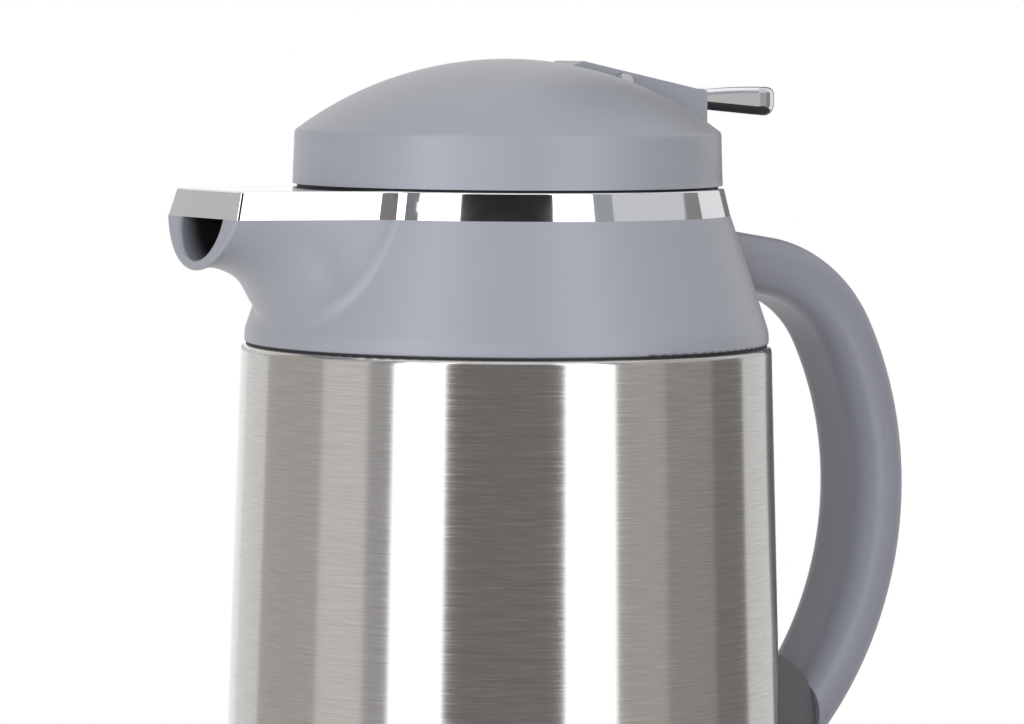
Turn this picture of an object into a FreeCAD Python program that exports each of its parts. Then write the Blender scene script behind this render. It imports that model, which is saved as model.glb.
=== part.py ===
import FreeCAD, Part
import Sketcher
import math
import os
from types import SimpleNamespace

# Thermal carafe: a double glass flask in a brushed steel jacket, with a moulded shoulder, a plated pouring
# collar, a handle and a stopper lid whose thumb lever lifts a pour valve.
# The frame has +Z up, the origin on the jug's axis at the plane it stands on, the spout along -X and the
# handle along +X. Sizes are millimetres.

SIZES = [
    ("shell_top_radius", 70.6, "steel jacket, outer radius at its top edge"),
    ("shell_flare", 4.8, "how much wider the jacket is at its foot"),
    ("shell_top_height", 165.3, "top edge of the jacket above the table"),
    ("shell_wall", 0.8, "steel sheet"),
    ("shell_lip", 2.4, "how far the jacket's top edge is turned in"),
    ("shell_lip_round", 1.5, "bend of that edge"),
    ("foot_height", 12.0, "height of the foot ring under the jacket"),
    ("foot_wall", 2.6, "wall of the foot ring"),
    ("foot_recess", 3.0, "how far the underside lies above the table"),
    ("foot_round", 2.0, "round at the foot ring's lower edge"),
    ("foot_rim", 4.2, "width of the rim that it stands on"),
    ("plug_radius", 40.0, "bore for the screw plug in the foot ring"),
    ("plug_flange", 6.0, "how far the screw plug's flange stands out past its bore"),
    ("plug_height", 11.0, "height of the screw plug's threaded wall"),
    ("plug_wall", 3.2, "wall of the screw plug"),
    ("grip_bar", 8.0, "width of the bar that turns the screw plug"),
    ("cushion_height", 12.0, "rubber cushion under the flask"),
    ("cushion_bore", 12.0, "hole in the cushion for the flask's sealed tip"),
    ("gasket_height", 0.5, "black gasket between jacket and shoulder"),
    ("gasket_inset", 1.2, "how far the gasket's edge lies inside the jacket's"),
    ("shoulder_height", 34.3, "shoulder moulding, gasket to collar"),
    ("shoulder_inset", 0.8, "step in from the jacket to the shoulder"),
    ("shoulder_taper", 11.3, "how far the shoulder draws in, jacket to collar"),
    ("shoulder_brow", 3.4, "upright band at the shoulder's foot"),
    ("shoulder_round", 9.0, "round between that band and the cone"),
    ("shoulder_edge", 0.8, "round of the shoulder's lower edge"),
    ("shoulder_wall", 3.0, "wall of the shoulder moulding"),
    ("spigot_depth", 7.0, "reach of the shoulder into the jacket"),
    ("spigot_gap", 0.3, "radial gap of the pieces inside the jacket's ends"),
    ("neck_length", 12.0, "straight part of the flask's neck"),
    ("neck_gasket_height", 2.5, "ring between the flask's rim and the shoulder"),
    ("neck_gap", 3.0, "gap between the two glass necks"),
    ("neck_boss", 6.5, "depth of the shoulder's threaded neck"),
    ("neck_skirt", 6.0, "skirt round the flask's neck"),
    ("glass_wall", 2.0, "glass thickness"),
    ("glass_lip", 2.5, "height of the fused glass rim"),
    ("vacuum_gap", 4.0, "gap between the two glass walls"),
    ("flask_clearance", 3.5, "gap between the flask and the jacket's top"),
    ("flask_round", 24.0, "round at the flask's foot"),
    ("flask_crown", 16.0, "height of the flask's sloping crown"),
    ("flask_crown_round", 14.0, "round at the flask's crown"),
    ("tip_length", 6.0, "sealed tip under the outer glass"),
    ("pad_radius", 4.0, "spacer pads between the glass walls"),
    ("pad_ring", 20.0, "distance of the pads from the axis"),
    ("basin_margin", 11.6, "step of the pour basin's floor, from its wall to the neck's bore"),
    ("basin_depth", 12.0, "depth of the pour basin"),
    ("floor_wall", 3.0, "floor of the pour basin"),
    ("basin_wall", 2.6, "wall round the pour basin"),
    ("collar_height", 7.3, "plated collar"),
    ("collar_width", 14.1, "width of the collar's ring"),
    ("collar_draft", 1.8, "taper of the collar's flank"),
    ("collar_wall", 2.0, "wall of the plated collar"),
    ("collar_edge", 0.6, "round of the collar's upper edge"),
    ("beak_length", 32.3, "how far the beak's lower edge stands out from the collar"),
    ("beak_slant", 2.0, "set-back of the beak's upper edge"),
    ("beak_tip_half", 19.3, "half width of the beak at its tip"),
    ("beak_root_half", 29.6, "half width of the beak where it leaves the collar"),
    ("beak_root_inset", 8.8, "how far inside the collar's edge the beak starts"),
    ("beak_corner", 1.2, "round at the beak's corners"),
    ("beak_blend", 9.0, "hollow round between the beak and the collar"),
    ("lip_overhang", 3.0, "how far the spout's lower lip stands out past the beak"),
    ("lip_depth", 14.4, "spout's depth at its lip"),
    ("lip_edge", 0.9, "round of the spout's lip"),
    ("throat_depth", 12.9, "spout's depth just behind its lip"),
    ("spout_root_depth", 34.0, "spout's depth where it leaves the shoulder"),
    ("channel_half", 11.4, "half width of the pouring channel"),
    ("channel_depth", 11.0, "depth of the pouring channel"),
    ("spout_blend", 4.5, "round between the spout and the shoulder"),
    ("handle_drop", 11.6, "start of the handle's upper arm below the collar"),
    ("arm_pitch", 0.158, "fall of the handle's upper arm for each millimetre of reach"),
    ("handle_gap", 44.4, "middle of the grip from the jacket's top edge"),
    ("waist_drop", 42.1, "grip's furthest point below the jacket's top edge"),
    ("handle_bend", 36.0, "bend at the handle's top"),
    ("grip_radius", 93.0, "bend of the grip"),
    ("handle_depth", 16.0, "handle's section, along its bend"),
    ("handle_width", 27.0, "handle's section, across its bend"),
    ("handle_round", 7.4, "round of the handle's section"),
    ("handle_seat", 0.05, "gap between the handle and what it seats on"),
    ("bracket_radius", 19.0, "round boss at the handle's foot"),
    ("bracket_drop", 62.2, "middle of that boss below the grip's furthest point"),
    ("bracket_width", 23.0, "width of that boss"),
    ("screw_radius", 1.9, "handle screws, shank"),
    ("screw_head", 3.5, "handle screws, head radius"),
    ("screw_head_height", 2.2, "handle screws, head height"),
    ("upper_screw_bite", 17.0, "upper handle screw's reach past the shoulder"),
    ("lower_screw_bite", 4.0, "lower handle screw's reach past the boss"),
    ("lid_inset", 2.1, "step in from the shoulder's top to the lid's foot"),
    ("rim_draft", 0.5, "taper of the lid's rim"),
    ("rim_height", 14.0, "lid's rim, foot to crease"),
    ("dome_rise", 19.2, "rise of the dome above the crease"),
    ("crease_round", 1.5, "round between rim and dome"),
    ("lid_wall", 2.4, "wall of the lid"),
    ("rim_seal_height", 0.6, "dark seal under the lid's rim"),
    ("rim_seal_inset", 1.5, "how far the seal's edge lies inside the rim's"),
    ("stopper_gap", 1.1, "radial gap of the stopper in the pour basin"),
    ("stopper_wall", 3.0, "wall of the stopper"),
    ("stopper_depth", 20.0, "reach of the stopper below the basin's floor"),
    ("stopper_float", 1.0, "gap between stopper and basin floor"),
    ("plug_gap", 1.5, "radial gap of the stopper in the flask's neck"),
    ("flange_height", 2.5, "flange that carries the stopper in the lid"),
    ("flange_gap", 0.3, "gap round that flange"),
    ("seal_band", 4.0, "height of the seal at the stopper's foot"),
    ("seal_step", 2.0, "depth of the stopper's step for that seal"),
    ("seal_gap", 0.4, "gap of the seals to the walls they slide in"),
    ("ring_section", 0.9, "section radius of the ring in the basin"),
    ("ring_drop", 3.5, "that ring's place below the shoulder's top"),
    ("seat_radius", 13.0, "hole of the valve seat"),
    ("port_half", 9.0, "half width of the stopper's pouring port"),
    ("port_height", 6.0, "height of the stopper's pouring port"),
    ("boss_inset", 3.8, "lid screws' distance from the rim's inside"),
    ("boss_radius", 4.0, "screw bosses in the lid"),
    ("boss_height", 10.0, "height of the screw bosses"),
    ("lid_screw_radius", 1.5, "lid screws, shank"),
    ("lid_screw_head", 2.8, "lid screws, head radius"),
    ("lid_screw_sink", 1.3, "lid screws, head height"),
    ("rod_radius", 3.0, "valve rod"),
    ("running_gap", 0.06, "radial clearance of what turns or slides in a bore"),
    ("guide_wall", 3.4, "wall of the valve rod's guide"),
    ("guide_height", 9.5, "height of the valve rod's guide"),
    ("disc_overlap", 3.0, "valve seal's reach past its seat"),
    ("disc_height", 3.0, "valve disc"),
    ("hub_radius", 6.0, "hub of the valve disc"),
    ("hub_height", 5.0, "height of that hub"),
    ("valve_seal_height", 2.0, "valve seal"),
    ("lift_radius", 7.0, "lift collar on the valve rod"),
    ("lift_height", 3.0, "height of the lift collar"),
    ("lift_level", 25.2, "lift collar's underside below the dome's top"),
    ("rod_tail", 6.0, "valve rod above the lift collar"),
    ("spring_height", 13.0, "valve spring at rest"),
    ("spring_radius", 5.0, "valve spring, middle of its wire"),
    ("spring_wire", 0.9, "valve spring's wire diameter"),
    ("spring_seat_radius", 7.5, "post over the valve spring"),
    ("pivot_reach", 31.0, "lever's pin from the axis"),
    ("pivot_drop", 5.8, "lever's pin below the dome's top"),
    ("pin_radius", 2.0, "lever's pin"),
    ("pin_bite", 2.5, "how far the pin goes into the lid on each side"),
    ("lever_width", 14.0, "lever"),
    ("lever_gap", 0.5, "gap on each side of the lever"),
    ("nose_reach", 16.0, "lever's nose from the axis"),
    ("lever_overhang", 1.3, "lever's upright back face past the lid's foot"),
    ("lever_fall", 8.5, "lever's back edge below the dome's top"),
    ("lever_back", 9.0, "height of the lever's back face"),
    ("nose_fall", 0.5, "lever's front edge below the dome's top"),
    ("nose_height", 3.2, "height of the lever's nose"),
    ("fork_gap", 0.6, "gap between the fork and the valve rod"),
    ("fork_round", 2.0, "round end of the fork"),
    ("lift_gap", 0.3, "gap between the fork and the lift collar"),
    ("well_depth", 23.2, "floor of the lever's well below the dome's top"),
    ("well_wall", 2.0, "walls of the lever's well"),
    ("well_front", 24.0, "front end of that well from the axis"),
    ("tab_length", 24.4, "thumb tab, lever to end"),
    ("tab_half", 9.0, "thumb tab, half its greatest width"),
    ("tab_neck_half", 7.0, "thumb tab, half its width at the lever"),
    ("tab_height", 5.1, "thumb tab's height at the lever"),
    ("tab_sag", 2.2, "fall of the tab's underside towards its end"),
    ("tab_lift", 0.3, "rise of the tab's top towards its end"),
    ("tab_step", 0.6, "tab's top above the lever's back edge"),
    ("tab_crown", 0.5, "swell of the tab's top"),
    ("tab_edge", 2.0, "round of the tab's upper edges"),
    ("tab_keel", 3.2, "round of the tab's lower edges"),
    ("inlay_reach", 36.0, "front end of the plated inlay from the axis"),
    ("inlay_width", 9.0, "plated inlay on the lever"),
    ("inlay_depth", 1.5, "depth of the plated inlay"),
]

doc = FreeCAD.newDocument("thermal_carafe")
sheet = doc.addObject("Spreadsheet::Sheet", "sizes")
for row, (alias, number, note) in enumerate(SIZES, start=1):
    sheet.set(f"A{row}", note)
    sheet.set(f"B{row}", str(number))
    sheet.setAlias(f"B{row}", alias)
doc.recompute()


class Measure:
    """A length together with the sheet expression that it comes from."""

    def __init__(self, text, number):
        self.text = text
        self.number = number

    def __add__(self, other):
        other = as_measure(other)
        return Measure(f"({self.text} + {other.text})", self.number + other.number)

    def __sub__(self, other):
        other = as_measure(other)
        return Measure(f"({self.text} - {other.text})", self.number - other.number)

    def __mul__(self, other):
        other = as_measure(other)
        return Measure(f"({self.text} * {other.text})", self.number * other.number)

    def __truediv__(self, other):
        other = as_measure(other)
        return Measure(f"({self.text} / {other.text})", self.number / other.number)

    def __neg__(self):
        return Measure(f"(-1 * {self.text})", -self.number)

    def root(self):
        return Measure(f"sqrt({self.text})", math.sqrt(self.number))


def as_measure(value):
    """A plain number as a measure."""
    if isinstance(value, Measure):
        return value
    return Measure(f"({value!r})", float(value))


S = SimpleNamespace(**{alias: Measure(f"sizes.{alias}", number) for alias, number, note in SIZES})
ZERO = as_measure(0)

# Levels above the table
shoulder_foot = S.shell_top_height + S.gasket_height
shoulder_top = shoulder_foot + S.shoulder_height
collar_top = shoulder_top + S.collar_height
rim_foot = collar_top + S.rim_seal_height
crease = rim_foot + S.rim_height
dome_top = crease + S.dome_rise
basin_floor = shoulder_top - S.basin_depth
neck_seat = basin_floor - S.neck_boss
flask_rim = neck_seat - S.neck_gasket_height
plug_web = S.foot_recess + S.plug_height - S.plug_wall
flask_foot = plug_web + S.cushion_height
flange_top = rim_foot + S.flange_height
stopper_foot = basin_floor - S.stopper_depth
seat_top = stopper_foot + S.stopper_wall
chamber_floor = basin_floor + S.stopper_float + S.stopper_wall
chamber_roof = chamber_floor + S.port_height + S.stopper_float
deck_top = chamber_roof + S.stopper_wall
lift_foot = dome_top - S.lift_level
lift_top = lift_foot + S.lift_height
spring_top = lift_top + S.spring_height
pivot_level = dome_top - S.pivot_drop
well_floor = dome_top - S.well_depth
arm_level = shoulder_top - S.handle_drop
upper_screw_level = arm_level - S.arm_pitch * (S.shoulder_wall + S.upper_screw_bite)
waist_level = S.shell_top_height - S.waist_drop
bracket_height = waist_level - S.bracket_drop

# Radii and reaches from the axis
shell_foot_radius = S.shell_top_radius + S.shell_flare
shoulder_radius = S.shell_top_radius - S.shoulder_inset
shoulder_top_radius = S.shell_top_radius - S.shoulder_taper
spigot_radius = S.shell_top_radius - S.shell_lip - S.spigot_gap
collar_bore = shoulder_top_radius - S.collar_width
collar_top_radius = shoulder_top_radius - S.collar_draft
basin_radius = collar_bore - S.basin_wall
neck_radius = basin_radius - S.basin_margin
flask_radius = S.shell_top_radius - S.shell_wall - S.flask_clearance
flask_neck = neck_radius + S.glass_wall * 2 + S.neck_gap
beak_reach = shoulder_top_radius + S.beak_length
beak_root_reach = shoulder_top_radius - S.beak_root_inset
lip_reach = beak_reach + S.lip_overhang
handle_reach = S.shell_top_radius + S.handle_gap
lid_radius = shoulder_top_radius - S.lid_inset
crease_radius = lid_radius - S.rim_draft
lid_bore = lid_radius - S.lid_wall
boss_ring = lid_bore - S.boss_inset
stopper_radius = basin_radius - S.stopper_gap
plug_radius = neck_radius - S.plug_gap
lever_reach = lid_radius + S.lever_overhang
tab_reach = lever_reach + S.tab_length
slot_width = S.lever_width + S.lever_gap * 2


def shell_radius(level):
    """Outer radius of the jacket's cone at a level."""
    flare = (shell_foot_radius - S.shell_top_radius) / (S.shell_top_height - S.foot_height)
    return S.shell_top_radius + flare * (S.shell_top_height - level)


def shoulder_cone(level):
    """Outer radius of the shoulder's cone at a level."""
    height = shoulder_top - shoulder_foot - S.shoulder_brow
    slope = (shoulder_radius - shoulder_top_radius) / height
    return shoulder_top_radius + slope * (shoulder_top - level)


def corner(x, y, round=None, bend=None, turn=1):
    """One corner of an outline.

    round is the radius of its fillet. bend is the radius of an arc that leaves it for the next corner, and turn
    is 1 where that arc goes counter-clockwise.
    """
    return SimpleNamespace(x=as_measure(x), y=as_measure(y), round=round, bend=bend, turn=turn)


def new_body(label):
    """An empty body with a label of its own."""
    body = doc.addObject("PartDesign::Body", label)
    body.Label = label
    return body


def new_sketch(body, plane, offset=None):
    """A sketch on one of the body's own origin planes, at an offset along that plane's normal."""
    sketch = body.newObject("Sketcher::SketchObject", body.Label + "_sketch")
    role = plane + "_Plane"
    sketch.AttachmentSupport = [(next(f for f in body.Origin.OriginFeatures if f.Role == role), "")]
    sketch.MapMode = "FlatFace"
    if offset is not None:
        sketch.AttachmentOffset.Base.z = offset.number
        sketch.setExpression("AttachmentOffset.Base.z", offset.text)
    return sketch


def hold(sketch, kind, *where, size):
    """A dimension of the sketch, bound to the sheet."""
    index = sketch.addConstraint(Sketcher.Constraint(kind, *where, size.number))
    sketch.setExpression(f"Constraints[{index}]", size.text)


def hold_point(sketch, geometry, end, x, y):
    """Both coordinates of a point, measured from the sketch's origin."""
    for kind, axis, size in (("DistanceX", -2, x), ("DistanceY", -1, y)):
        if size.number == 0:
            sketch.addConstraint(Sketcher.Constraint("PointOnObject", geometry, end, axis))
        elif size.number < 0:
            hold(sketch, kind, geometry, end, -1, 1, size=-size)
        else:
            hold(sketch, kind, -1, 1, geometry, end, size=size)


def flat(x, y):
    """A point of the sketch's plane."""
    return FreeCAD.Vector(x, y, 0)


def arc_edge(start, end, radius, turn):
    """The arc of a radius between two points, under a half circle, with its ends' names in travel order."""
    chord = end - start
    rise = math.sqrt(max(radius * radius - chord.Length ** 2 / 4, 0))
    normal = flat(-chord.y, chord.x).normalize()
    centre = (start + end) * 0.5 + normal * (rise * turn)
    first, last = (start, end) if turn > 0 else (end, start)
    angles = [math.atan2(p.y - centre.y, p.x - centre.x) for p in (first, last)]
    circle = Part.Circle(centre, FreeCAD.Vector(0, 0, 1), radius)
    return Part.ArcOfCircle(circle, *angles), (1, 2) if turn > 0 else (2, 1)


def outline(sketch, corners):
    """A closed outline through corners, with its fillets and arcs, every corner held by the sheet."""
    count = len(corners)
    points = [flat(c.x.number, c.y.number) for c in corners]
    leave = list(points)
    reach = list(points)
    for i, c in enumerate(corners):
        if c.round is not None:
            back = (points[i - 1] - points[i]).normalize()
            ahead = (points[(i + 1) % count] - points[i]).normalize()
            cut = c.round.number / math.tan(back.getAngle(ahead) / 2)
            reach[i] = points[i] + back * cut
            leave[i] = points[i] + ahead * cut
    edges = []
    for i, c in enumerate(corners):
        start, end = leave[i], reach[(i + 1) % count]
        if c.bend is None:
            edges.append((sketch.addGeometry(Part.LineSegment(start, end)), 1, 2))
        else:
            curve, (first, last) = arc_edge(start, end, c.bend.number, c.turn)
            edges.append((sketch.addGeometry(curve), first, last))
            hold(sketch, "Radius", edges[-1][0], size=c.bend)
    for i, c in enumerate(corners):
        before, end = edges[i - 1][0], edges[i - 1][2]
        after, start = edges[i][0], edges[i][1]
        if c.round is None:
            sketch.addConstraint(Sketcher.Constraint("Coincident", before, end, after, start))
            hold_point(sketch, after, start, c.x, c.y)
            continue
        turn = 1 if (points[i] - points[i - 1]).cross(points[(i + 1) % count] - points[i]).z > 0 else -1
        curve, (first, last) = arc_edge(reach[i], leave[i], c.round.number, turn)
        fillet = sketch.addGeometry(curve)
        apex = sketch.addGeometry(Part.Point(points[i]), True)
        hold_point(sketch, apex, 1, c.x, c.y)
        sketch.addConstraint(Sketcher.Constraint("PointOnObject", apex, 1, before))
        sketch.addConstraint(Sketcher.Constraint("PointOnObject", apex, 1, after))
        sketch.addConstraint(Sketcher.Constraint("Tangent", before, end, fillet, first))
        sketch.addConstraint(Sketcher.Constraint("Tangent", fillet, last, after, start))
        hold(sketch, "Radius", fillet, size=c.round)


def circle(sketch, x, y, radius):
    """A circle held by its centre and radius."""
    x, y = as_measure(x), as_measure(y)
    geometry = sketch.addGeometry(
        Part.Circle(flat(x.number, y.number), FreeCAD.Vector(0, 0, 1), radius.number))
    hold_point(sketch, geometry, 3, x, y)
    hold(sketch, "Radius", geometry, size=radius)


def turned(body, corners, kind="Revolution"):
    """A full turn of an outline of (radius, height) corners about the jug's axis."""
    sketch = new_sketch(body, "XZ")
    outline(sketch, corners)
    feature = body.newObject("PartDesign::" + kind, body.Label + "_turn")
    feature.Profile = sketch
    feature.ReferenceAxis = (sketch, ["V_Axis"])
    feature.Angle = 360
    body.Tip = feature
    return feature


def pressed(body, kind, sketch, length, both=False, reverse=False):
    """A Pad or Pocket of a sketch; both means half the length to each side."""
    feature = body.newObject("PartDesign::" + kind, body.Label + "_" + kind.lower())
    feature.Profile = sketch
    feature.SideType = "Symmetric" if both else "One side"
    feature.Reversed = reverse
    feature.Length = length.number
    feature.setExpression("Length", length.text)
    body.Tip = feature
    return feature


def side_cut(body, corners, width, kind="Pocket"):
    """A Pad or Pocket of an outline in the XZ plane, the same to both sides of it."""
    sketch = new_sketch(body, "XZ")
    outline(sketch, corners)
    return pressed(body, kind, sketch, width, both=True)


def side_bore(body, x, z, radius, width, kind="Pocket"):
    """A round Pad or Pocket along Y, the same to both sides of the XZ plane."""
    sketch = new_sketch(body, "XZ")
    circle(sketch, x, z, radius)
    return pressed(body, kind, sketch, width, both=True)


def rounded(body, edges, radius):
    """A fillet on the edges of the body's last feature that the test picks."""
    doc.recompute()
    base = body.Tip
    names = [f"Edge{i}" for i, edge in enumerate(base.Shape.Edges, start=1) if edges(edge)]
    feature = body.newObject("PartDesign::Fillet", body.Label + "_fillet")
    feature.Base = (base, names)
    feature.Radius = radius.number
    feature.setExpression("Radius", radius.text)
    body.Tip = feature
    return feature


def threefold(body, feature):
    """Three copies of a feature round the jug's axis."""
    pattern = body.newObject("PartDesign::PolarPattern", body.Label + "_pattern")
    pattern.Originals = [feature]
    pattern.Axis = (next(f for f in body.Origin.OriginFeatures if f.Role == "Z_Axis"), [""])
    pattern.Angle = 360
    pattern.Occurrences = 3
    body.Tip = pattern
    return pattern


def cylinder(name, radius, height, x=ZERO, y=ZERO, z=ZERO, along=FreeCAD.Vector(0, 0, 1)):
    """A cylinder that starts at a point and runs along a direction."""
    solid = doc.addObject("Part::Cylinder", name)
    solid.setExpression("Radius", radius.text)
    solid.setExpression("Height", height.text)
    solid.Placement.Rotation = FreeCAD.Rotation(FreeCAD.Vector(0, 0, 1), along)
    for axis, size in (("x", x), ("y", y), ("z", z)):
        solid.setExpression("Placement.Base." + axis, size.text)
    return solid


def grouped(label, solids):
    """Separate solids in one node."""
    group = doc.addObject("Part::Compound", label)
    group.Label = label
    group.Links = solids
    return group


def screw(name, shank, length, head, head_height, x, y, z, along):
    """A screw whose head starts at a point; the length is the shank's beyond the head."""
    cap = cylinder(name + "_head", head, head_height, x, y, z, along)
    stem = cylinder(name + "_shank", shank, head_height + length, x, y, z, along)
    whole = doc.addObject("Part::Fuse", name)
    whole.Base = cap
    whole.Tool = stem
    return whole


def build_base_ring():
    """Foot ring: carries the jacket on a ledge and the screw plug in its bore."""
    body = new_body("base_ring")
    ledge = shell_radius(S.foot_height) - S.shell_wall - S.spigot_gap
    top = S.foot_height + S.spigot_depth
    lip = shell_radius(top) - S.shell_wall - S.spigot_gap
    floor_top = S.foot_recess + S.foot_wall
    boss = S.plug_radius + S.plug_wall
    turned(body, [
        corner(S.plug_radius, S.foot_recess),
        corner(shell_foot_radius - S.foot_round - S.foot_rim, S.foot_recess),
        corner(shell_foot_radius - S.foot_round - S.foot_rim, 0),
        corner(shell_foot_radius - S.foot_round / 2, 0, round=S.foot_round),
        corner(shell_foot_radius, S.foot_height),
        corner(ledge, S.foot_height),
        corner(lip, top),
        corner(lip - S.foot_wall, top),
        corner(lip - S.foot_wall, floor_top),
        corner(boss, floor_top),
        corner(boss, S.foot_recess + S.plug_height),
        corner(S.plug_radius, S.foot_recess + S.plug_height),
    ])
    return body


def build_base_plug():
    """Screw plug that closes the jacket and presses the flask up, with a bar to turn it by."""
    body = new_body("base_plug")
    thread = S.plug_radius - S.spigot_gap
    foot = S.foot_recess / 2
    inside = thread - S.plug_wall
    roof = plug_web - S.plug_wall
    turned(body, [
        corner(0, roof),
        corner(inside - S.plug_wall, roof),
        corner(inside - S.plug_wall, foot),
        corner(S.plug_radius + S.plug_flange, foot),
        corner(S.plug_radius + S.plug_flange, S.foot_recess),
        corner(thread, S.foot_recess),
        corner(thread, S.foot_recess + S.plug_height),
        corner(inside, S.foot_recess + S.plug_height),
        corner(inside, plug_web),
        corner(0, plug_web),
    ])
    reach = inside - S.plug_wall / 2
    bar = new_sketch(body, "XY", offset=foot)
    outline(bar, [
        corner(-reach, -S.grip_bar / 2),
        corner(reach, -S.grip_bar / 2),
        corner(reach, S.grip_bar / 2),
        corner(-reach, S.grip_bar / 2),
    ])
    pressed(body, "Pad", bar, roof + S.plug_wall / 2 - foot)
    return body


def build_liner_cushion():
    """Rubber cushion between the screw plug and the glass."""
    body = new_body("liner_cushion")
    edge = S.plug_radius - S.spigot_gap * 2 - S.plug_wall
    turned(body, [
        corner(S.cushion_bore, plug_web),
        corner(edge, plug_web),
        corner(edge - S.plug_wall, flask_foot),
        corner(S.cushion_bore, flask_foot),
    ])
    return body


def flask_wall(label, inset_by, neck, rim, foot_round):
    """One blown wall of the flask: a bottle of even thickness, open at its rim, set in from the outermost one."""
    body = new_body(label)
    radius = flask_radius - inset_by
    foot = flask_foot + inset_by
    shoulder = flask_rim - S.neck_length - inset_by
    inset = radius - S.glass_wall
    bore = neck - S.glass_wall
    turned(body, [
        corner(0, foot),
        corner(radius, foot, round=foot_round),
        corner(radius, shoulder - S.flask_crown, round=S.flask_crown_round),
        corner(neck, shoulder, round=S.glass_wall),
        corner(neck, rim),
        corner(bore, rim),
        corner(bore, shoulder - S.glass_wall, round=S.glass_wall * 2),
        corner(inset, shoulder - S.flask_crown - S.glass_wall / 2, round=S.flask_crown_round - S.glass_wall),
        corner(inset, foot + S.glass_wall, round=foot_round - S.glass_wall),
        corner(0, foot + S.glass_wall),
    ])
    return body


def build_outer_flask():
    """Outer glass wall, with the tip where it was sealed."""
    body = flask_wall("outer_flask", ZERO, flask_neck, flask_rim - S.glass_lip, S.flask_round)
    turned(body, [
        corner(0, flask_foot - S.tip_length),
        corner(S.tip_length / 2, flask_foot),
        corner(0, flask_foot + S.glass_wall),
    ])
    return body


def build_inner_flask():
    """Inner glass wall, whose rim is fused over the outer one's neck."""
    step = S.glass_wall + S.vacuum_gap
    neck = neck_radius + S.glass_wall
    body = flask_wall("inner_flask", step, neck, flask_rim, S.flask_round - S.vacuum_gap)
    turned(body, [
        corner(neck - S.glass_wall / 2, flask_rim - S.glass_lip),
        corner(flask_neck, flask_rim - S.glass_lip),
        corner(flask_neck, flask_rim),
        corner(neck - S.glass_wall / 2, flask_rim),
    ])
    return body


def build_flask_pads():
    """Three spacer pads between the glass walls."""
    pads = []
    for i in range(3):
        angle = math.radians(60 + 120 * i)
        pads.append(cylinder(f"flask_pad_{i}", S.pad_radius, S.vacuum_gap, S.pad_ring * math.cos(angle),
                             S.pad_ring * math.sin(angle), flask_foot + S.glass_wall))
    return grouped("flask_pads", pads)


def build_neck_gasket():
    """Ring between the flask's rim and the shoulder's threaded neck."""
    body = new_body("neck_gasket")
    turned(body, [
        corner(neck_radius + S.seal_gap, flask_rim),
        corner(flask_neck, flask_rim),
        corner(flask_neck, neck_seat),
        corner(neck_radius + S.seal_gap, neck_seat),
    ])
    return body


def build_outer_shell():
    """Steel jacket: a sleeve that widens towards its foot."""
    body = new_body("outer_shell")
    turned(body, [
        corner(shell_foot_radius - S.shell_wall, S.foot_height),
        corner(shell_foot_radius, S.foot_height),
        corner(S.shell_top_radius, S.shell_top_height, round=S.shell_lip_round),
        corner(S.shell_top_radius - S.shell_lip, S.shell_top_height),
        corner(S.shell_top_radius - S.shell_lip, S.shell_top_height - S.shell_wall),
        corner(S.shell_top_radius - S.shell_wall, S.shell_top_height - S.shell_wall,
               round=S.shell_lip_round - S.shell_wall),
    ])
    hole = new_sketch(body, "YZ")
    circle(hole, 0, bracket_height, S.screw_radius + S.running_gap)
    pressed(body, "Pocket", hole, shell_foot_radius, reverse=True)
    return body


def build_shell_gasket():
    """Black gasket that shows as a line above the jacket."""
    body = new_body("shell_gasket")
    turned(body, [
        corner(spigot_radius, S.shell_top_height),
        corner(S.shell_top_radius - S.gasket_inset, S.shell_top_height),
        corner(S.shell_top_radius - S.gasket_inset, shoulder_foot),
        corner(spigot_radius, shoulder_foot),
    ])
    return body


def spout_section(body, reach, half, depth, rise=ZERO):
    """A round keel square to the spout: half and depth are at the shoulder's top, and it is closed a rise above."""
    sketch = new_sketch(body, "YZ", offset=-reach)
    keel = (half * half + depth * depth) / (depth * 2)
    over = depth + rise - keel
    edge = (keel * keel - over * over).root()
    outline(sketch, [
        corner(edge, shoulder_top + rise),
        corner(-edge, shoulder_top + rise, bend=keel),
        corner(0, shoulder_top - depth, bend=keel),
    ])
    return sketch


def beak_half(reach):
    """Half width of the beak, at its lower edge, at a distance from the axis."""
    taper = (S.beak_root_half - S.beak_tip_half) / (beak_reach - beak_root_reach)
    return S.beak_tip_half + taper * (beak_reach - reach)


# The spout's keel: each station's share of the way to the lip and its share of the fall from root to throat.
SPOUT_KEEL = [(0.0, 1.02), (0.125, 1.02), (0.25, 1.0), (0.375, 0.91), (0.5, 0.56), (0.625, 0.23), (0.75, 0.07),
              (0.875, 0.0)]


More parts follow.
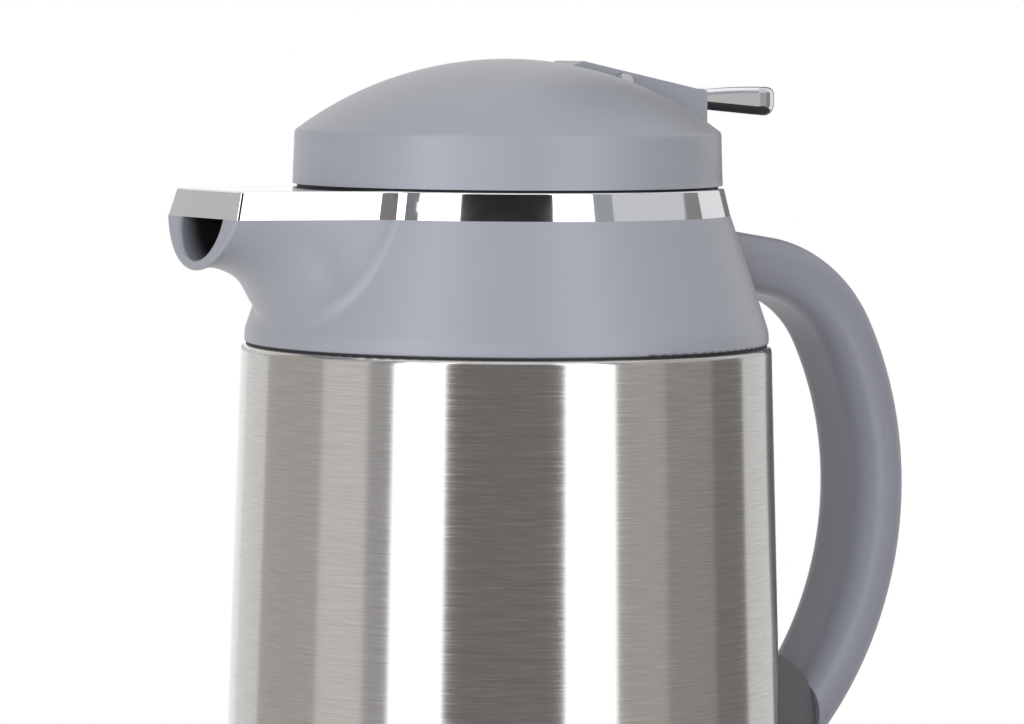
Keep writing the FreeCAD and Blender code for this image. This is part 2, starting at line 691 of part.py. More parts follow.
def build_shoulder():
    """Shoulder moulding: cone, pour basin, threaded neck and the spout with its channel."""
    body = new_body("shoulder")
    spigot_foot = shoulder_foot - S.spigot_depth
    inner_foot = spigot_radius - S.shoulder_wall
    skirt = flask_neck + S.spigot_gap
    skirt_foot = neck_seat - S.neck_skirt
    deck_under = shoulder_top - S.shoulder_wall
    floor_under = basin_floor - S.floor_wall
    basin_out = basin_radius + S.basin_wall
    inner_top = shoulder_cone(deck_under) - S.shoulder_wall
    turned(body, [
        corner(inner_foot, spigot_foot),
        corner(spigot_radius, spigot_foot),
        corner(spigot_radius, shoulder_foot),
        corner(shoulder_radius, shoulder_foot, round=S.shoulder_edge),
        corner(shoulder_radius, shoulder_foot + S.shoulder_brow, round=S.shoulder_round),
        corner(shoulder_top_radius, shoulder_top),
        corner(basin_radius, shoulder_top),
        corner(basin_radius, basin_floor),
        corner(neck_radius + S.stopper_float, basin_floor),
        corner(neck_radius + S.stopper_float, neck_seat),
        corner(skirt, neck_seat),
        corner(skirt, skirt_foot),
        corner(skirt + S.floor_wall, skirt_foot),
        corner(skirt + S.floor_wall, floor_under),
        corner(basin_out, floor_under),
        corner(basin_out, deck_under),
        corner(inner_top, deck_under),
        corner(inner_foot, shoulder_foot + S.shoulder_brow),
    ])
    inner = basin_radius + S.basin_wall * 2
    span = lip_reach - inner
    fall = S.spout_root_depth - S.throat_depth
    stations = [(inner + span * along, S.throat_depth + fall * deep) for along, deep in SPOUT_KEEL]
    stations.append((lip_reach, S.lip_depth))
    rise = S.shoulder_wall
    sections = [spout_section(body, reach, beak_half(reach), depth, rise) for reach, depth in stations]
    loft = body.newObject("PartDesign::AdditiveLoft", "shoulder_spout")
    loft.Profile = sections[0]
    loft.Sections = sections[1:]
    body.Tip = loft

    def on_cone(edge):
        points = edge.discretize(7)
        level = [p.z for p in points]
        off = [abs(math.hypot(p.x, p.y) - shoulder_cone(as_measure(p.z)).number) for p in points]
        return max(off) < 0.1 and max(level) - min(level) > 1 and max(p.x for p in points) < -basin_radius.number

    side_cut(body, [
        corner(-basin_radius, shoulder_top),
        corner(-lip_reach - rise, shoulder_top),
        corner(-lip_reach - rise, shoulder_top + rise * 2),
        corner(-basin_radius, shoulder_top + rise * 2),
    ], S.beak_root_half * 4)
    rounded(body, on_cone, S.spout_blend)
    turned(body, [
        corner(basin_out, spigot_foot),
        corner(inner_foot, spigot_foot),
        corner(inner_foot, shoulder_foot + S.shoulder_brow),
        corner(inner_top, deck_under),
        corner(basin_out, deck_under),
    ], kind="Groove")
    trough_half = S.channel_half + S.shoulder_wall
    trough_depth = S.channel_depth + S.shoulder_wall
    trough_reach = shoulder_cone(shoulder_top - trough_depth)
    trough = spout_section(body, trough_reach, trough_half, trough_depth)
    pressed(body, "Pad", trough, trough_reach - basin_radius - S.basin_wall / 2)
    channel = spout_section(body, ZERO, S.channel_half, S.channel_depth, rise)
    pressed(body, "Pocket", channel, lip_reach + S.lip_depth)
    slant = S.lip_overhang
    side_cut(body, [
        corner(-beak_reach, shoulder_top),
        corner(-lip_reach - slant, shoulder_top),
        corner(-lip_reach - slant, shoulder_top - S.lip_depth * 2),
        corner(-lip_reach - slant / 2, shoulder_top - S.lip_depth * 2),
        corner(-lip_reach, shoulder_top - S.lip_depth),
    ], S.beak_root_half * 2)

    def at_mouth(edge):
        points = edge.discretize(7)
        lean = (S.lip_overhang / S.lip_depth).number
        off = [abs(p.x + beak_reach.number + lean * (shoulder_top.number - p.z)) for p in points]
        return max(off) < 0.01 and min(p.z for p in points) < (shoulder_top - S.lip_edge * 2).number

    rounded(body, at_mouth, S.lip_edge)
    hole = new_sketch(body, "YZ")
    circle(hole, 0, upper_screw_level, S.screw_radius + S.running_gap)
    pressed(body, "Pocket", hole, S.shell_top_radius, reverse=True)
    return body


def build_pour_collar():
    """Plated collar on the shoulder, whose beak roofs the spout."""
    body = new_body("pour_collar")
    roof = collar_top - S.collar_wall
    flank = shoulder_top_radius - S.collar_wall
    turned(body, [
        corner(collar_bore, shoulder_top),
        corner(collar_bore + S.collar_wall, shoulder_top),
        corner(collar_bore + S.collar_wall, roof),
        corner(flank - S.collar_draft, roof),
        corner(flank, shoulder_top),
        corner(shoulder_top_radius, shoulder_top),
        corner(collar_top_radius, collar_top),
        corner(collar_bore, collar_top),
    ])
    back = collar_bore + S.collar_wall / 2

    def beak_plan(level, tip, inset):
        plan = new_sketch(body, "XY", offset=level)
        outline(plan, [
            corner(-back, beak_half(back) - inset),
            corner(-tip, S.beak_tip_half - inset, round=S.beak_corner),
            corner(-tip, -S.beak_tip_half + inset, round=S.beak_corner),
            corner(-back, -beak_half(back) + inset),
        ])
        return plan

    lower = beak_plan(shoulder_top, beak_reach, ZERO)
    upper = beak_plan(collar_top, beak_reach - S.beak_slant, S.collar_draft * 0.75)
    beak = body.newObject("PartDesign::AdditiveLoft", "pour_collar_beak")
    beak.Profile = lower
    beak.Sections = [upper]
    beak.Ruled = True
    body.Tip = beak

    def at_beak_root(edge):
        box = edge.BoundBox
        upright = box.ZLength > S.collar_height.number * 0.9
        on_ring = math.hypot(box.Center.x, box.Center.y) < (shoulder_top_radius + S.collar_wall).number
        return upright and on_ring and box.XMax < -basin_radius.number

    def on_upper_edge(edge):
        box = edge.BoundBox
        far = max(math.hypot(p.x, p.y) for p in edge.discretize(5))
        return box.ZMin > collar_top.number - 1e-3 and far > collar_bore.number + S.collar_wall.number

    rounded(body, at_beak_root, S.beak_blend)
    rounded(body, on_upper_edge, S.collar_edge)
    hollow = new_sketch(body, "XY", offset=shoulder_top)
    front = beak_reach - S.beak_slant - S.collar_wall
    outline(hollow, [
        corner(-back - S.collar_wall, beak_half(back) - S.collar_wall * 2),
        corner(-front, S.beak_tip_half - S.collar_wall * 2),
        corner(-front, -S.beak_tip_half + S.collar_wall * 2),
        corner(-back - S.collar_wall, -beak_half(back) + S.collar_wall * 2),
    ])
    pressed(body, "Pocket", hollow, S.collar_height - S.collar_wall, reverse=True)
    return body


def body_envelope(body, gap):
    """Cuts away what lies inside the jug's own outside, with a gap."""
    turned(body, [
        corner(0, 0),
        corner(shell_radius(ZERO) + gap, 0),
        corner(S.shell_top_radius + gap, S.shell_top_height),
        corner(shoulder_radius + gap, shoulder_foot + S.shoulder_brow),
        corner(shoulder_top_radius + gap, shoulder_top),
        corner(0, shoulder_top),
    ], kind="Groove")


def build_handle():
    """Handle: one even section swept along a falling arm, a short bend and the long bend of the grip."""
    body = new_body("handle")
    start = shoulder_top_radius - S.shoulder_wall
    waist_x = handle_reach - S.grip_radius
    run = (S.arm_pitch * S.arm_pitch + 1).root()
    step = S.grip_radius - S.handle_bend
    # The bend's middle, seen from the grip's: first at the arm's start, then moved along the arm until the two
    # bends meet.
    across = start - S.arm_pitch * S.handle_bend / run - waist_x
    rise = arm_level - S.handle_bend / run - waist_level
    along = (across - S.arm_pitch * rise) / run
    arm = (along * along - across * across - rise * rise + step * step).root() - along
    arm_x = start + arm / run
    arm_z = arm_level - S.arm_pitch * arm / run
    meet_x = waist_x + (across + arm / run) * S.grip_radius / step
    meet_z = waist_level + (rise - S.arm_pitch * arm / run) * S.grip_radius / step
    foot_x = S.shell_top_radius - S.shell_flare
    foot_run = foot_x - waist_x
    foot_z = waist_level - (S.grip_radius * S.grip_radius - foot_run * foot_run).root()

    path = new_sketch(body, "XZ")
    line = path.addGeometry(
        Part.LineSegment(flat(start.number, arm_level.number), flat(arm_x.number, arm_z.number)))
    bend_curve, bend_ends = arc_edge(flat(arm_x.number, arm_z.number), flat(meet_x.number, meet_z.number),
                                     S.handle_bend.number, -1)
    bend = path.addGeometry(bend_curve)
    grip_curve, grip_ends = arc_edge(flat(meet_x.number, meet_z.number), flat(foot_x.number, foot_z.number),
                                     S.grip_radius.number, -1)
    grip = path.addGeometry(grip_curve)
    hold_point(path, line, 1, start, arm_level)
    hold(path, "DistanceY", -1, 1, line, 2, size=arm_z)
    path.addConstraint(Sketcher.Constraint("Tangent", line, 2, bend, bend_ends[0]))
    path.addConstraint(Sketcher.Constraint("Tangent", bend, bend_ends[1], grip, grip_ends[0]))
    hold(path, "Radius", bend, size=S.handle_bend)
    hold(path, "Radius", grip, size=S.grip_radius)
    hold_point(path, grip, 3, waist_x, waist_level)
    hold(path, "DistanceY", -1, 1, grip, grip_ends[1], size=foot_z)

    section = new_sketch(body, "YZ", offset=start)
    half = S.handle_width / 2
    outline(section, [
        corner(-half, arm_level - S.handle_depth / 2, round=S.handle_round),
        corner(half, arm_level - S.handle_depth / 2, round=S.handle_round),
        corner(half, arm_level + S.handle_depth / 2, round=S.handle_round),
        corner(-half, arm_level + S.handle_depth / 2, round=S.handle_round),
    ])
    sweep = body.newObject("PartDesign::AdditivePipe", "handle_sweep")
    sweep.Profile = section
    sweep.Spine = (path, ["Edge1", "Edge2", "Edge3"])
    body.Tip = sweep
    body_envelope(body, S.handle_seat)
    centre = shell_radius(bracket_height) - S.handle_seat
    side_bore(body, centre, bracket_height, S.bracket_radius + S.handle_seat, S.handle_width * 2)
    upper = new_sketch(body, "YZ")
    circle(upper, 0, upper_screw_level, S.screw_radius)
    pressed(body, "Pocket", upper, shoulder_cone(upper_screw_level) + S.upper_screw_bite, reverse=True)
    lower = new_sketch(body, "YZ")
    circle(lower, 0, bracket_height, S.screw_radius)
    pressed(body, "Pocket", lower, centre + S.bracket_radius + S.lower_screw_bite, reverse=True)
    return body


def build_handle_bracket():
    """Round boss on the jacket that carries the handle's foot."""
    body = new_body("handle_bracket")
    centre = shell_radius(bracket_height) - S.handle_seat
    side_bore(body, centre, bracket_height, S.bracket_radius, S.bracket_width, kind="Pad")
    body_envelope(body, S.handle_seat)
    hole = new_sketch(body, "YZ")
    circle(hole, 0, bracket_height, S.screw_radius)
    pressed(body, "Pocket", hole, centre + S.bracket_radius * 2, reverse=True)
    return body


def build_handle_screws():
    """Two screws driven from inside: one through the shoulder, one through the jacket and the boss."""
    along = FreeCAD.Vector(1, 0, 0)
    level = upper_screw_level
    upper_seat = shoulder_cone(level + S.screw_head) - S.shoulder_wall * 1.4
    lower_seat = shell_radius(bracket_height + S.screw_head) - S.shell_wall * 1.5
    upper = screw("upper_handle_screw", S.screw_radius - S.handle_seat,
                  shoulder_cone(level) + S.upper_screw_bite - upper_seat - S.handle_seat, S.screw_head,
                  S.screw_head_height, upper_seat - S.screw_head_height, ZERO, level, along)
    lower = screw("lower_handle_screw", S.screw_radius - S.handle_seat,
                  shell_radius(bracket_height) + S.bracket_radius + S.lower_screw_bite - lower_seat
                  - S.handle_seat * 2, S.screw_head,
                  S.screw_head_height, lower_seat - S.screw_head_height, ZERO, bracket_height, along)
    return grouped("handle_screws", [upper, lower])


def dome_bend(radius, rise):
    """Radius of the arc that rises from the axis's level circle to its top."""
    return (radius * radius + rise * rise) / (rise * 2)


def build_lid_cap():
    """Lid: a dome on an upright rim, with the lever's slot and well, the spring's post and screw bosses."""
    body = new_body("lid_cap")
    inner_radius = crease_radius - S.lid_wall
    inner_crease = crease - S.lid_wall / 2
    inner_top = dome_top - S.lid_wall
    turned(body, [
        corner(lid_bore, rim_foot),
        corner(lid_radius, rim_foot),
        corner(crease_radius, crease, bend=dome_bend(crease_radius, S.dome_rise)),
        corner(0, dome_top),
        corner(0, inner_top, bend=dome_bend(inner_radius, inner_top - inner_crease), turn=-1),
        corner(inner_radius, inner_crease),
    ])

    def on_crease(edge):
        box = edge.BoundBox
        return box.ZLength < 1e-3 and abs(box.ZMax - crease.number) < 1e-3 and box.XMax > boss_ring.number

    rounded(body, on_crease, S.crease_round)
    post = new_sketch(body, "XY", offset=spring_top)
    circle(post, 0, 0, S.spring_seat_radius)
    pressed(body, "Pad", post, dome_top - S.lid_wall / 2 - spring_top)
    boss = new_sketch(body, "XY", offset=flange_top)
    circle(boss, -boss_ring, 0, S.boss_radius)
    threefold(body, pressed(body, "Pad", boss, S.boss_height))
    pilot = new_sketch(body, "XY", offset=flange_top)
    circle(pilot, -boss_ring, 0, S.lid_screw_radius)
    threefold(body, pressed(body, "Pocket", pilot, S.boss_height - S.lid_wall, reverse=True))
    ceiling = dome_bend(crease_radius, S.dome_rise) - S.lid_wall * 0.6
    apex = dome_top - S.lid_wall * 0.6
    wall_reach = inner_radius

    def under_dome(reach):
        return apex - ceiling + (ceiling * ceiling - reach * reach).root()

    side_cut(body, [
        corner(S.well_front, well_floor - S.well_wall),
        corner(wall_reach, well_floor - S.well_wall),
        corner(wall_reach, under_dome(wall_reach), bend=ceiling),
        corner(S.well_front, under_dome(S.well_front)),
    ], slot_width + S.well_wall * 2, kind="Pad")
    front = S.nose_reach - S.lever_gap
    beyond = lid_radius + S.lid_wall
    above = dome_top + S.lid_wall
    brow = pivot_level - S.nose_height
    side_cut(body, [
        corner(front, brow),
        corner(S.well_front - S.lid_wall, brow),
        corner(S.well_front - S.lid_wall, well_floor),
        corner(beyond, well_floor),
        corner(beyond, above),
        corner(front, above),
    ], slot_width)
    side_bore(body, S.pivot_reach, pivot_level, S.pin_radius + S.running_gap / 2, slot_width + S.pin_bite * 2)
    return body


def build_stopper_plug():
    """Stopper: a flange in the lid, a drum in the pour basin and a plug in the neck, with the valve's chamber."""
    body = new_body("stopper_plug")
    drum_foot = basin_floor + S.stopper_float
    bore = S.rod_radius + S.running_gap
    guide = S.rod_radius + S.guide_wall
    inner_plug = plug_radius - S.stopper_wall
    inner_drum = stopper_radius - S.stopper_wall
    step = plug_radius - S.seal_step
    turned(body, [
        corner(S.seat_radius, stopper_foot),
        corner(step, stopper_foot),
        corner(step, stopper_foot + S.seal_band),
        corner(plug_radius, stopper_foot + S.seal_band),
        corner(plug_radius, drum_foot),
        corner(stopper_radius, drum_foot),
        corner(stopper_radius, rim_foot),
        corner(lid_bore - S.flange_gap, rim_foot),
        corner(lid_bore - S.flange_gap, flange_top),
        corner(inner_drum, flange_top),
        corner(inner_drum, deck_top),
        corner(guide, deck_top),
        corner(guide, deck_top + S.guide_height),
        corner(bore, deck_top + S.guide_height),
        corner(bore, chamber_roof),
        corner(inner_drum, chamber_roof),
        corner(inner_drum, chamber_floor),
        corner(inner_plug, chamber_floor),
        corner(inner_plug, seat_top),
        corner(S.seat_radius, seat_top),
    ])
    groove_level = shoulder_top - S.ring_drop
    groove_floor = basin_radius - S.seal_gap - S.ring_section * 2
    turned(body, [
        corner(groove_floor, groove_level - S.ring_section),
        corner(basin_radius, groove_level - S.ring_section),
        corner(basin_radius, groove_level + S.ring_section),
        corner(groove_floor, groove_level + S.ring_section),
    ], kind="Groove")
    port = new_sketch(body, "YZ")
    outline(port, [
        corner(-S.port_half, chamber_floor),
        corner(S.port_half, chamber_floor),
        corner(S.port_half, chamber_floor + S.port_height),
        corner(-S.port_half, chamber_floor + S.port_height),
    ])
    pressed(body, "Pocket", port, basin_radius)
    hole = new_sketch(body, "XY", offset=rim_foot)
    circle(hole, -boss_ring, 0, S.lid_screw_radius + S.running_gap)
    threefold(body, pressed(body, "Pocket", hole, S.flange_height, reverse=True))
    sink = new_sketch(body, "XY", offset=rim_foot)
    circle(sink, -boss_ring, 0, S.lid_screw_head + S.running_gap)
    threefold(body, pressed(body, "Pocket", sink, S.lid_screw_sink, reverse=True))
    return body


def build_stopper_seal():
    """Seal round the stopper's foot."""
    body = new_body("stopper_seal")
    turned(body, [
        corner(plug_radius - S.seal_step, stopper_foot + S.seal_gap),
        corner(plug_radius, stopper_foot + S.seal_gap),
        corner(neck_radius - S.seal_gap, stopper_foot + S.seal_band / 2),
        corner(neck_radius - S.seal_gap, stopper_foot + S.seal_band),
        corner(plug_radius - S.seal_step, stopper_foot + S.seal_band),
    ])
    return body


def build_basin_seal():
    """Round ring that seals the stopper's drum in the basin."""
    ring = doc.addObject("Part::Torus", "basin_seal")
    ring.Label = "basin_seal"
    ring.setExpression("Radius1", (basin_radius - S.seal_gap - S.ring_section).text)
    ring.setExpression("Radius2", S.ring_section.text)
    ring.setExpression("Placement.Base.z", (shoulder_top - S.ring_drop).text)
    return ring


def build_rim_seal():
    """Flat seal between the lid's rim and the plated collar."""
    body = new_body("rim_seal")
    inner = collar_bore + S.collar_wall
    outer = collar_top_radius - S.rim_seal_inset
    turned(body, [
        corner(inner, collar_top),
        corner(outer, collar_top),
        corner(outer, rim_foot),
        corner(inner, rim_foot),
    ])
    return body


def build_lid_screws():
    """Three screws that hold the stopper's flange to the lid's bosses."""
    along = FreeCAD.Vector(0, 0, 1)
    length = S.flange_height + S.boss_height - S.lid_wall - S.lid_screw_sink - S.running_gap
    screws = []
    for i in range(3):
        angle = math.radians(60 + 120 * i)
        screws.append(screw(f"lid_screw_{i}", S.lid_screw_radius - S.running_gap / 2, length, S.lid_screw_head,
                            S.lid_screw_sink, boss_ring * math.cos(angle), boss_ring * math.sin(angle),
                            rim_foot, along))
    return grouped("lid_screws", screws)


def build_lever_pin():
    """Bright cross pin that the lever tilts on."""
    half = slot_width / 2 + S.pin_bite - S.running_gap
    pin = cylinder("lever_pin", S.pin_radius, half * 2, S.pivot_reach, -half, pivot_level,
                   FreeCAD.Vector(0, 1, 0))
    pin.Label = "lever_pin"
    return pin


lever_top = dome_top - S.nose_fall
lever_edge = dome_top - S.lever_fall
crest_start = S.nose_reach + S.nose_height


def lever_line(reach):
    """Level of the lever's sloping top at a distance from the axis."""
    slope = (lever_top - lever_edge) / (lever_reach - crest_start)
    return lever_edge + slope * (lever_reach - reach)


def build_lever_arm():
    """Lever: a wedge in the dome's slot, with an arm that ends in a fork under the lift collar."""
    body = new_body("lever_arm")
    fork_crest = lift_foot - S.lift_gap
    fork_foot = fork_crest - S.fork_round * 2
    elbow = S.lift_radius + S.fork_round
    back_foot = lever_edge - S.lever_back
    nose_foot = lever_top - S.nose_height
    side_cut(body, [
        corner(S.nose_reach, lever_line(crest_start) - S.nose_height / 3),
        corner(crest_start, lever_top),
        corner(lever_reach, lever_edge),
        corner(lever_reach, back_foot),
        corner(S.pivot_reach + S.lift_radius, back_foot + S.nose_height),
        corner(S.pivot_reach - S.pin_radius * 3, pivot_level - S.lift_radius),
        corner(elbow + S.fork_round, fork_foot),
        corner(0, fork_foot, bend=S.fork_round, turn=-1),
        corner(-S.fork_round, fork_foot + S.fork_round, bend=S.fork_round, turn=-1),
        corner(0, fork_crest),
        corner(elbow - S.fork_round, fork_crest - S.fork_round / 2),
        corner(elbow, fork_crest + S.lift_gap),
        corner(S.pivot_reach - S.lift_radius - S.lift_height, pivot_level - S.nose_height),
        corner(S.well_front - S.nose_height, nose_foot - S.nose_fall),
        corner(S.nose_reach, nose_foot),
    ], S.lever_width, kind="Pad")
    inlay = inlay_outline()
    side_cut(body, inlay, S.inlay_width)
    side_bore(body, S.pivot_reach, pivot_level, S.pin_radius + S.running_gap, S.lever_width * 2)
    slot = new_sketch(body, "XY", offset=fork_foot)
    half = S.rod_radius + S.fork_gap
    outline(slot, [
        corner(-S.lift_radius, -half),
        corner(elbow + S.fork_round / 2, -half),
        corner(elbow + S.fork_round / 2, half),
        corner(-S.lift_radius, half),
    ])
    pressed(body, "Pocket", slot, S.lift_radius + S.lift_height, reverse=True)
    return body


def inlay_outline():
    """Side outline of the plated inlay, let into the lever's sloping top."""
    return [
        corner(S.inlay_reach, lever_line(S.inlay_reach)),
        corner(S.inlay_reach, lever_line(S.inlay_reach) - S.inlay_depth),
        corner(lever_reach, lever_edge - S.inlay_depth),
        corner(lever_reach, lever_edge),
    ]


def build_thumb_plate():
    """Bright thumb tab with the inlay that runs up the lever."""
    body = new_body("thumb_plate")
    crest = lever_edge + S.tab_step
    foot = lever_edge - S.tab_height
    length = tab_reach - lever_reach
    side_cut(body, [
        corner(lever_reach, crest, bend=dome_bend(length / 2, S.tab_crown), turn=-1),
        corner(tab_reach, crest + S.tab_lift),
        corner(tab_reach, foot - S.tab_sag),
        corner(lever_reach, foot),
    ], S.tab_half * 3, kind="Pad")
    plan = new_sketch(body, "XY", offset=foot - S.tab_sag)
    margin = S.tab_half * 2
    wide = tab_reach - S.tab_half
    outline(plan, [
        corner(lever_reach - margin, -margin),
        corner(tab_reach + margin, -margin),
        corner(tab_reach + margin, margin),
        corner(lever_reach - margin, margin),
    ])
    outline(plan, [
        corner(lever_reach, -S.tab_neck_half),
        corner(wide, -S.tab_half, bend=S.tab_half),
        corner(tab_reach, 0, bend=S.tab_half),
        corner(wide, S.tab_half),
        corner(lever_reach, S.tab_neck_half),
    ])
    pressed(body, "Pocket", plan, S.tab_height + S.tab_sag + S.tab_half, reverse=True)

    middle = (crest + foot - S.tab_sag).number / 2

    def on_rim(edge):
        box = edge.BoundBox
        return box.XMax > (lever_reach + S.tab_edge).number and box.XLength + box.YLength > S.tab_edge.number

    rounded(body, lambda edge: on_rim(edge) and edge.BoundBox.Center.z > middle, S.tab_edge)
    rounded(body, lambda edge: on_rim(edge) and edge.BoundBox.ZMax < middle, S.tab_keel)
    side_cut(body, inlay_outline(), S.inlay_width, kind="Pad")
    return body


def build_valve_rod():
    """Rod that joins the valve disc to the lift collar."""
    length = lift_top + S.rod_tail - seat_top - S.valve_seal_height / 2
    rod = cylinder("valve_rod", S.rod_radius, length, z=seat_top + S.valve_seal_height / 2)
    rod.Label = "valve_rod"
    return rod


def build_valve_disc():
    """Disc on the rod's foot that backs the valve seal."""
    body = new_body("valve_disc")
    foot = seat_top + S.valve_seal_height
    turned(body, [
        corner(S.rod_radius, foot),
        corner(S.seat_radius + S.disc_overlap - S.valve_seal_height / 2, foot),
        corner(S.seat_radius + S.disc_overlap - S.valve_seal_height / 2, foot + S.disc_height),
        corner(S.hub_radius, foot + S.disc_height),
        corner(S.hub_radius, foot + S.disc_height + S.hub_height),
        corner(S.rod_radius, foot + S.disc_height + S.hub_height),
    ])
    return body


def build_valve_seal():
    """Soft washer that closes the valve seat."""
    body = new_body("valve_seal")
    turned(body, [
        corner(S.rod_radius, seat_top),
        corner(S.seat_radius + S.disc_overlap, seat_top),
        corner(S.seat_radius + S.disc_overlap, seat_top + S.valve_seal_height),
        corner(S.rod_radius, seat_top + S.valve_seal_height),
    ])
    return body


def build_lift_collar():
    """Collar on the rod that the lever's fork lifts and the spring presses down."""
    body = new_body("lift_collar")
    turned(body, [
        corner(S.rod_radius, lift_foot),
        corner(S.lift_radius, lift_foot),
        corner(S.lift_radius, lift_top),
        corner(S.rod_radius, lift_top),
    ])
    return body


def biarc(start, start_way, end, end_way):
    """Two tangent arcs from one point and direction to another."""
    step = end - start
    ways = start_way + end_way
    spread = 2 * (1 - start_way.dot(end_way))
    reach = (-step.dot(ways) + math.sqrt(step.dot(ways) ** 2 + spread * step.dot(step))) / spread
    joint = (start + end + (start_way - end_way) * reach) * 0.5
    joint_way = (joint - start - start_way * reach).normalize()
    arcs = []
    for a, way, b in ((start, start_way, joint), (joint, joint_way, end)):
        chord = b - a
        side = (chord - way * chord.dot(way)).normalize()
        radius = chord.dot(chord) / (2 * chord.dot(side))
        centre = a + side * radius
        middle = ((a + b) * 0.5 - centre).normalize() * radius + centre
        arcs.append(Part.Arc(a, middle, b).toShape())
    return arcs


SPRING_TURNS = 5


def build_valve_spring():
    """Closing spring: one unbroken wire wound on biarcs of a quarter turn."""
    radius = S.spring_radius.number
    wire = S.spring_wire.number
    climb = S.spring_height.number - wire
    base = lift_top.number + wire / 2
    quarters = SPRING_TURNS * 4

    def place(quarter):
        angle = math.pi / 2 * quarter
        return FreeCAD.Vector(radius * math.cos(angle), radius * math.sin(angle), base + climb * quarter / quarters)

    def way(quarter):
        angle = math.pi / 2 * quarter
        rise = climb / quarters / (math.pi / 2)
        return FreeCAD.Vector(-radius * math.sin(angle), radius * math.cos(angle), rise).normalize()

    edges = []
    for quarter in range(quarters):
        edges += biarc(place(quarter), way(quarter), place(quarter + 1), way(quarter + 1))
    path = Part.Wire(edges)
    ring = Part.Wire([Part.Circle(place(0), way(0), wire / 2).toShape()])
    shell = Part.BRepOffsetAPI.MakePipeShell(path)
    shell.add(ring)
    shell.build()
    shell.makeSolid()
    spring = doc.addObject("Part::Feature", "valve_spring")
    spring.Label = "valve_spring"
    spring.Shape = shell.shape()
    spring.Placement = FreeCAD.Placement()
    print(f"valve spring: {climb / SPRING_TURNS - wire:.2f} mm between its turns")
    return spring


BUILDERS = [
    build_base_ring, build_base_plug, build_liner_cushion, build_outer_flask, build_inner_flask,
    build_flask_pads, build_neck_gasket, build_outer_shell, build_shell_gasket, build_shoulder,
    build_pour_collar, build_handle, build_handle_bracket, build_handle_screws, build_lid_cap,
    build_stopper_plug, build_stopper_seal, build_basin_seal, build_rim_seal, build_lid_screws,
    build_lever_pin, build_lever_arm, build_thumb_plate, build_valve_rod, build_valve_disc,
    build_valve_seal, build_lift_collar, build_valve_spring,
]


def main():
    """Builds every piece, checks the document and writes one file for each piece."""
    pieces = [build() for build in BUILDERS]
    doc.recompute()
    for item in doc.Objects:
        if {"Invalid", "Error"} & set(item.State):
            raise RuntimeError(f"{item.Name} failed: {item.State}")
    for piece in pieces:
        if piece.Shape.isNull() or not piece.Shape.isValid():
            raise RuntimeError(f"{piece.Label} has no valid shape")
    os.makedirs("parts", exist_ok=True)
    for piece in pieces:
        piece.Shape.exportStep(f"parts/{piece.Label}.step")


main()
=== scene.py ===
"""Looks of a thermal carafe: finishes, fine pieces and studio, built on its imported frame."""

import logging
import math
from dataclasses import dataclass, field
from enum import Enum
from typing import Any

import bmesh
import bpy
from mathutils import Matrix, Vector


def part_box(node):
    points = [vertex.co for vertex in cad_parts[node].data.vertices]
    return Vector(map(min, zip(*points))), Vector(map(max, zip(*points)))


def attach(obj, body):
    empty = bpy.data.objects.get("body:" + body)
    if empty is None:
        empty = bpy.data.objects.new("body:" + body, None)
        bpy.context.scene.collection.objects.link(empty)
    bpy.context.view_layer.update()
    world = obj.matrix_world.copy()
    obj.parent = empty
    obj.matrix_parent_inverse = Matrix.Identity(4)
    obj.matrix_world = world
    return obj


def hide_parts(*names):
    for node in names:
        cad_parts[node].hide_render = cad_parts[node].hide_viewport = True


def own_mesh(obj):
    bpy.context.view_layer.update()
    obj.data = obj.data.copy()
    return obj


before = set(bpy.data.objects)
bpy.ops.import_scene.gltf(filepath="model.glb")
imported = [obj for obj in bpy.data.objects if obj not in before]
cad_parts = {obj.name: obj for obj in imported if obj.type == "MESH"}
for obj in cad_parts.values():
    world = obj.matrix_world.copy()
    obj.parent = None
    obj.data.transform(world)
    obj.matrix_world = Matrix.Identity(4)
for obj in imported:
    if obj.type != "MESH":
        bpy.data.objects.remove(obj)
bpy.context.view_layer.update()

MM = 0.001
WHITE = "#ffffff"
WARM_WHITE = "#f6f2ef"
COOL_WHITE = "#eef1f8"
# Height in metres where the low reflecting sheets end and the high ones begin.
SHEET_SPLIT = 0.75
ORIGIN = (0, 0, 0)
UP = (0, 0, 1)
log = logging.getLogger("carafe")

Colour = tuple[float, float, float, float]
Material = bpy.types.Material
Node = bpy.types.Node
Socket = bpy.types.NodeSocket
Thing = bpy.types.Object
Tree = bpy.types.NodeTree


class Body(Enum):
    """The rigid bodies that the scene's own pieces ride on."""

    JUG = "jug"
    LID = "lid"


class Slot(Enum):
    """The record's material slots, which the scene's own pieces list."""

    STEEL = "plain_steel"
    GREY = "grey_moulding"
    DARK = "dark_moulding"


def to_linear(code: str) -> Colour:
    """Turns an sRGB hex colour into linear light.

    Args:
        code: Six hex digits after a hash sign.

    Returns:
        Red, green, blue and an alpha of one.
    """
    parts = [int(code[i:i + 2], 16) / 255 for i in (1, 3, 5)]
    light = [p / 12.92 if p <= 0.04045 else ((p + 0.055) / 1.055) ** 2.4 for p in parts]
    return light[0], light[1], light[2], 1.0


def toned(colour: Colour, gain: float) -> list[float]:
    """Makes a colour lighter or darker.

    Args:
        colour: A linear colour.
        gain: What its light is multiplied by.

    Returns:
        The new colour, at most white.
    """
    return [min(1.0, part * gain) for part in colour[:3]] + [1.0]


